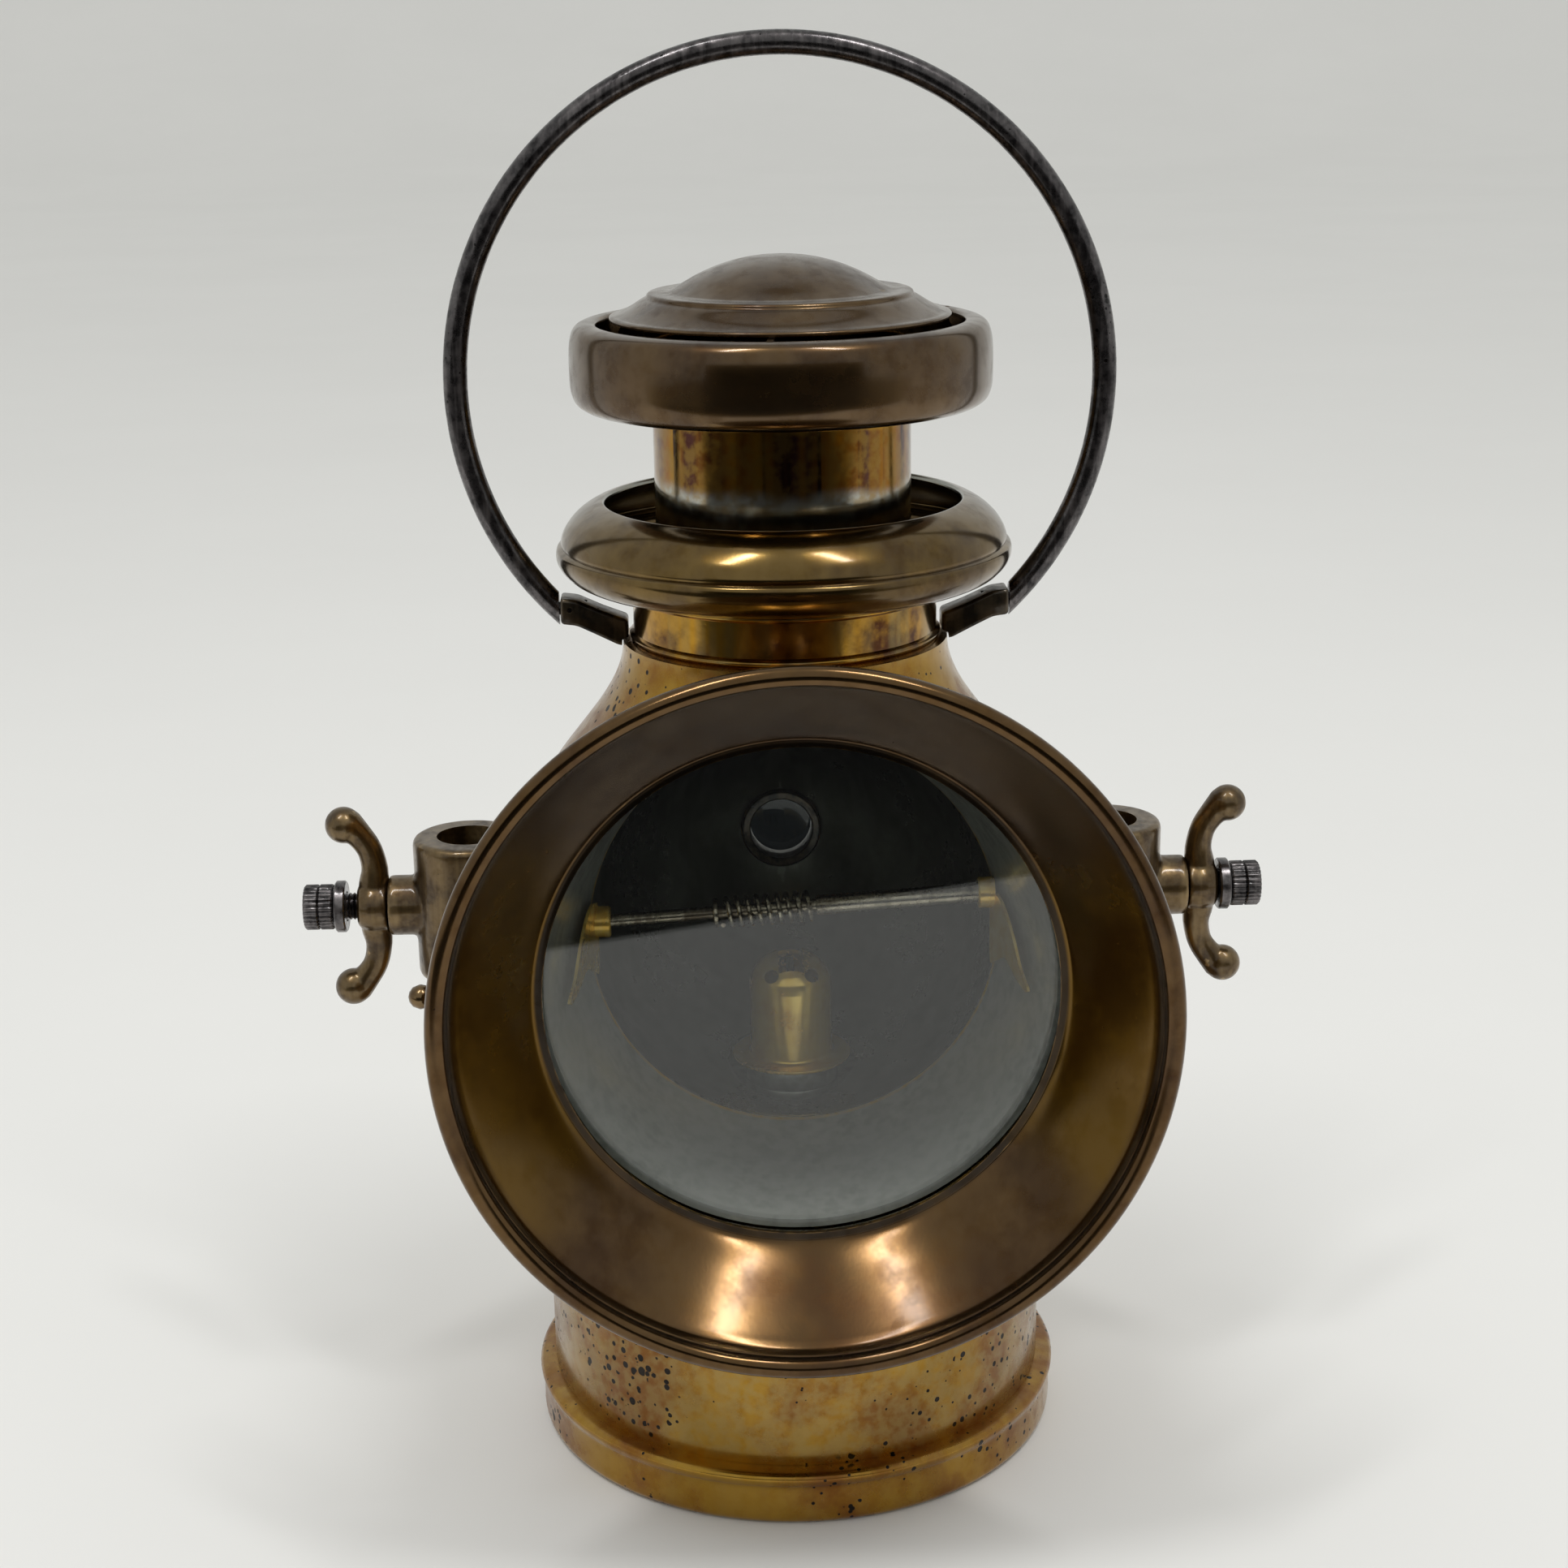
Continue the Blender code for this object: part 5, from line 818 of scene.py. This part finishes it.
def make_wing_nut(word, side, outward):
    start = side * WING_X
    hub = turned("hub", WING_HUB, across(outward, start, 0, SOCKET_Z), SMALL_STEPS)
    for up in (-1, 1):
        path = [(side * WING_LEAN_SHARE * along, 0, up * rise) for along, rise in WING_PATH]
        fine = spline(path, 4)
        radii = [point[0] for point in spline([(radius, 0) for radius in WING_RADII], 4)]
        arm = swept("arm", fine, radii, 24, Matrix.Translation(Vector((start, 0, SOCKET_Z)) * MM))
        merge(hub, arm, "UNION")
        tip = (start + side * WING_TIP_OUT, 0, SOCKET_Z + up * WING_TIP_UP)
        merge(hub, sphere("tip", WING_TIP_RADIUS, tip), "UNION")
    cast(hub, 0.32, 6)
    merge(hub, drill("hub_way", STUD_WAY, -10, 20, across(outward, start, 0, SOCKET_Z), 32), "DIFFERENCE")
    finish_piece(f"{word}_wing_cast", hub, cast_brass, f"{word}_wing", (f"{word}_wing_nut",))


# Bail and ears
BAIL_RADIUS, BAIL_CENTRE, PIVOT, BAIL_END, BAIL_OVERLAP = 62.9, 218.7, 174.4, 44.6, 4.0
BAIL_ROD, BAIL_ARC_STEPS = 2.35, 72
SPIGOT_RADIUS, SPIGOT_IN, SPIGOT_OUT = 1.3, -4.8, 2.0
EAR_HALF_WIDTH, EAR_SOFTNESS, EAR_HOLE, EAR_HOLE_X = 3.5, 0.7, 1.6, 44.3
EAR_OUTLINE = ((44.3, 177.0), (41.0, 176.6), (36.0, 174.3), (31.1, 172.4), (31.1, 167.0), (33.2, 167.4),
               (37.5, 169.6), (41.2, 171.4), (44.3, 171.8))


def make_bail():
    rise = BAIL_CENTRE - PIVOT
    start = -math.asin((rise + BAIL_OVERLAP) / BAIL_RADIUS)
    right = []
    for step in range(BAIL_ARC_STEPS + 1):
        angle = start + (math.pi / 2 - start) * step / BAIL_ARC_STEPS
        right.append((BAIL_RADIUS * math.cos(angle), 0, rise + BAIL_RADIUS * math.sin(angle)))
    points = right + [(-x, y, z) for x, y, z in right[-2::-1]]
    lift = Matrix.Translation((0, 0, PIVOT * MM))
    handle = swept("rod", points, [BAIL_ROD] * len(points), 32, lift)
    merge(handle, block("rod_ends", (-BAIL_END, -6, PIVOT - 10), (BAIL_END, 6, PIVOT + BAIL_OVERLAP)),
          "DIFFERENCE")
    for side in (-1, 1):
        spigot = drill("spigot", SPIGOT_RADIUS, SPIGOT_IN, SPIGOT_OUT,
                       across("+X" if side > 0 else "-X", side * BAIL_END, 0, PIVOT), 24)
        merge(handle, spigot, "UNION")
    finish_piece("bail_rod", handle, worn_steel, "bail", ("bail_handle",))
    for word, side in (("left", -1), ("right", 1)):
        mesh = bmesh.new()
        rows = [[mesh.verts.new((side * x * MM, y * MM, z * MM)) for x, z in EAR_OUTLINE]
                for y in (-EAR_HALF_WIDTH, EAR_HALF_WIDTH)]
        mesh.faces.new(rows[0])
        mesh.faces.new(rows[1][::-1])
        for k in range(len(EAR_OUTLINE)):
            n = (k + 1) % len(EAR_OUTLINE)
            mesh.faces.new((rows[0][k], rows[0][n], rows[1][n], rows[1][k]))
        bmesh.ops.recalc_face_normals(mesh, faces=mesh.faces)
        bmesh.ops.bevel(mesh, geom=mesh.edges[:], offset=EAR_SOFTNESS * MM, segments=3, profile=0.5,
                        affect="EDGES")
        ear = mesh_item("ear", mesh)
        merge(ear, turned("shoulder_room", [(0, 180), (29.6, 180), (29.6, 169.6)] + [
            (32.5 + (51.7 - 32.2) * (0.5 - 0.5 * math.cos(math.pi * s / 16)), 168.5 - 38.2 * s / 16)
            for s in range(17)] + [(0, 130.3)]), "DIFFERENCE")
        hole_place = across("+X" if side > 0 else "-X", side * EAR_HOLE_X, 0, PIVOT)
        merge(ear, drill("ear_hole", EAR_HOLE, -5.2, 3, hole_place, 24), "DIFFERENCE")
        finish_piece(f"{word}_ear_forged", ear, ear_metal, "lamp_body", (f"{word}_bail_ear",))


# Base, font and burner
AIR_HOLE_PLACE, AIR_HOLE_RADIUS, AIR_HOLE_LEAN = (4.1, -4.25, 96.7), 1.45, 55


def make_font():
    base = list(BASE_OUTLINE[:2]) + spline(BASE_OUTLINE[2:13]) + [BASE_OUTLINE[-1]]
    cup = turned("cup", walled(base, 0.8))
    finish_piece("base_spun", cup, golden_brass, "font", ("base_cup",))
    tank = turned("tank", walled(list(TANK), 0.6))
    finish_piece("tank_soldered", tank, tinned, "font", ("font_tank",))
    collar = turned("collar", COLLAR, steps=SMALL_STEPS)
    merge(collar, block("guide_way", (-2.2, -5.2, 75), (2.2, 5.2, 80)), "DIFFERENCE")
    merge(collar, drill("shaft_way", 1.1, 0, 12, across("+Y", 2.8, 0, 73.8), 24), "DIFFERENCE")
    finish_piece("collar_turned", collar, tinned, "font", ("burner_collar",))
    dome = turned("dome", walled(spline(DOME[:6]) + spline(DOME[6:], 3), 0.6), steps=SMALL_STEPS)
    merge(dome, block("flame_slot", (-2.6, -6.4, 97), (2.6, 6.4, 104)), "DIFFERENCE")
    for side in (-1, 1):
        along, depth, height = AIR_HOLE_PLACE
        start = Vector((side * along, depth, height)) * MM
        aim = Matrix.Translation(start) @ Matrix.Rotation(math.radians(AIR_HOLE_LEAN), 4, "X")
        merge(dome, drill("air_hole", AIR_HOLE_RADIUS, 0, 9, aim, 32), "DIFFERENCE")
    finish_piece("dome_pressed", dome, bright_brass, "font", ("burner_dome",))


def paint_node(name, material):
    """A CAD node that stays as it is, with its own finish and slightly broken edges."""
    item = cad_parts[name]
    item.data.materials.clear()
    item.data.materials.append(material)
    edge = item.modifiers.new("broken_edges", "BEVEL")
    edge.width, edge.segments, edge.limit_method = 0.08 * MM, 2, "ANGLE"


KEPT_NODES = (("cap_leg_1", brown_brass, "brown_brass"), ("cap_leg_2", brown_brass, "brown_brass"),
              ("cap_leg_3", brown_brass, "brown_brass"), ("flue_gallery", tinned, "tinned"),
              ("fixed_hinge_leaf", brown_brass, "brown_brass"),
              ("door_hinge_leaf", brown_brass, "brown_brass"), ("hinge_pin", worn_steel, "dark_steel"),
              ("wick_tube", bright_brass, "polished_brass"), ("wick", cotton, "cotton"),
              ("winder_spindle", spring_wire, "spring_steel"),
              ("winder_knob", bright_brass, "polished_brass"))

make_body()
make_inside()
make_rod()
make_clips()
make_door()
make_sockets()
make_bail()
make_font()
for node_name, node_material, node_slot in KEPT_NODES:
    paint_node(node_name, node_material)


# Studio, in metres
FLOOR_HALF_WIDTH, FLOOR_FRONT, FLOOR_BACK, SWEEP_RADIUS, SWEEP_STEPS = 12, -12, 4.0, 3.0, 12
CLOTH_EDGE = ((-1.6, -0.31), (-0.30, -0.31), (0.35, -0.556), (1.6, -0.556), (1.6, -1.75), (-1.6, -1.75))
CLOTH_LIFT, WALL_Y, WALL_HEIGHT = 0.001, -1.8, 0.55
LAMP_SIDE, LAMP_FRONT, LAMP_HEIGHT, LAMP_AIM = 0.42, -0.45, 1.45, (0, 0, 0.14)
LAMP_WIDTH, LAMP_LENGTH, LAMP_POWER = 0.10, 0.55, 5


def make_floor():
    """A floor whose far side turns up, so that no horizon shows."""
    mesh = bmesh.new()
    rows = [(FLOOR_FRONT, 0.0), (FLOOR_BACK, 0.0)]
    for step in range(1, SWEEP_STEPS + 1):
        angle = math.radians(90 * step / SWEEP_STEPS)
        rows.append((FLOOR_BACK + SWEEP_RADIUS * math.sin(angle), SWEEP_RADIUS * (1 - math.cos(angle))))
    line = [(mesh.verts.new((-FLOOR_HALF_WIDTH, y, z)), mesh.verts.new((FLOOR_HALF_WIDTH, y, z)))
            for y, z in rows]
    for first, second in zip(line, line[1:]):
        mesh.faces.new((first[0], first[1], second[1], second[0]))
    floor = mesh_item("floor", mesh)
    material, wiring, place, shader = begin("pale_floor")
    cloud = wiring.group(blotches, {"Place": place, "Scale": 3.0, "Low": 0.3, "High": 0.7})
    wiring.tree.links.new(wiring.mix(cloud, (0.80, 0.80, 0.785, 1), (0.785, 0.785, 0.77, 1)),
                          shader.inputs["Base Color"])
    shader.inputs["Roughness"].default_value = 0.7
    floor.data.materials.append(material)
    return floor


def make_dark_end():
    """A dark cloth and a low dark wall behind the camera, which glass and brass mirror."""
    mesh = bmesh.new()
    corners = [(x, y, CLOTH_LIFT) for x, y in CLOTH_EDGE]
    corners += [(CLOTH_EDGE[0][0], WALL_Y, WALL_HEIGHT), (CLOTH_EDGE[3][0], WALL_Y, WALL_HEIGHT)]
    points = [mesh.verts.new(corner) for corner in corners]
    mesh.faces.new(points[:6])
    mesh.faces.new((points[5], points[4], points[7], points[6]))
    screen = mesh_item("dark_end", mesh)
    material, wiring, place, shader = begin("dark_cloth")
    shade = wiring.group(blotches, {"Place": place, "Scale": 2.0, "Low": 0.3, "High": 0.7})
    wiring.tree.links.new(wiring.mix(shade, (0.012, 0.012, 0.012, 1), (0.03, 0.028, 0.026, 1)),
                          shader.inputs["Base Color"])
    shader.inputs["Roughness"].default_value = 0.9
    screen.data.materials.append(material)
    screen.visible_camera = False
    return screen


def make_lamp(name, side):
    data = bpy.data.lights.new(name, "AREA")
    data.shape, data.size, data.size_y, data.energy = "RECTANGLE", LAMP_WIDTH, LAMP_LENGTH, LAMP_POWER
    lamp = bpy.data.objects.new(name, data)
    lamp.location = (side * LAMP_SIDE, LAMP_FRONT, LAMP_HEIGHT)
    lamp.rotation_euler = (Vector(LAMP_AIM) - lamp.location).to_track_quat("-Z", "Y").to_euler()
    bpy.context.scene.collection.objects.link(lamp)
    return lamp


def make_world():
    world = bpy.data.worlds.new("pale_room")
    world.use_nodes = True
    wiring = Wiring(world.node_tree)
    path = wiring.add("ShaderNodeLightPath").outputs
    seen = wiring.math("MAXIMUM", path["Is Camera Ray"], path["Is Glossy Ray"])
    seen = wiring.math("MAXIMUM", seen, path["Is Transmission Ray"])
    background = world.node_tree.nodes["Background"]
    wiring.tree.links.new(wiring.mix(seen, (0.74, 0.74, 0.72, 1), (0.60, 0.615, 0.60, 1)),
                          background.inputs["Color"])
    background.inputs["Strength"].default_value = 1.0
    bpy.context.scene.world = world


def make_camera():
    """The camera fitted to the photograph: angles in radians, lengths in mm, focal length in pixels."""
    scale, yaw, pitch, roll = 1.10, -0.0332, 0.2903, -0.0157
    distance, height, shift = 457.862 * scale, 261.2359 * scale, -0.625 * scale
    focal, image_width = 3194.5, 1932
    centre = Vector((distance * math.sin(yaw) + shift * math.cos(yaw),
                     -distance * math.cos(yaw) + shift * math.sin(yaw), height)) * MM
    ahead = Vector((-math.sin(yaw) * math.cos(pitch), math.cos(yaw) * math.cos(pitch), -math.sin(pitch)))
    right = Vector((math.cos(yaw), math.sin(yaw), 0))
    up = right.cross(ahead)
    right, up = (math.cos(roll) * right + math.sin(roll) * up,
                 -math.sin(roll) * right + math.cos(roll) * up)
    data = bpy.data.cameras.new("camera")
    data.sensor_width = 36
    data.lens = data.sensor_width * focal / image_width
    data.clip_start = 0.01
    camera = bpy.data.objects.new("camera", data)
    turn = Matrix((right, up, -ahead)).transposed().to_4x4()
    camera.matrix_world = Matrix.Translation(centre) @ turn
    bpy.context.scene.collection.objects.link(camera)
    bpy.context.scene.camera = camera


make_floor()
make_dark_end()
make_world()
make_lamp("left_lamp", -1)
make_lamp("right_lamp", 1)
make_camera()
bpy.context.scene.view_settings.view_transform = "Standard"
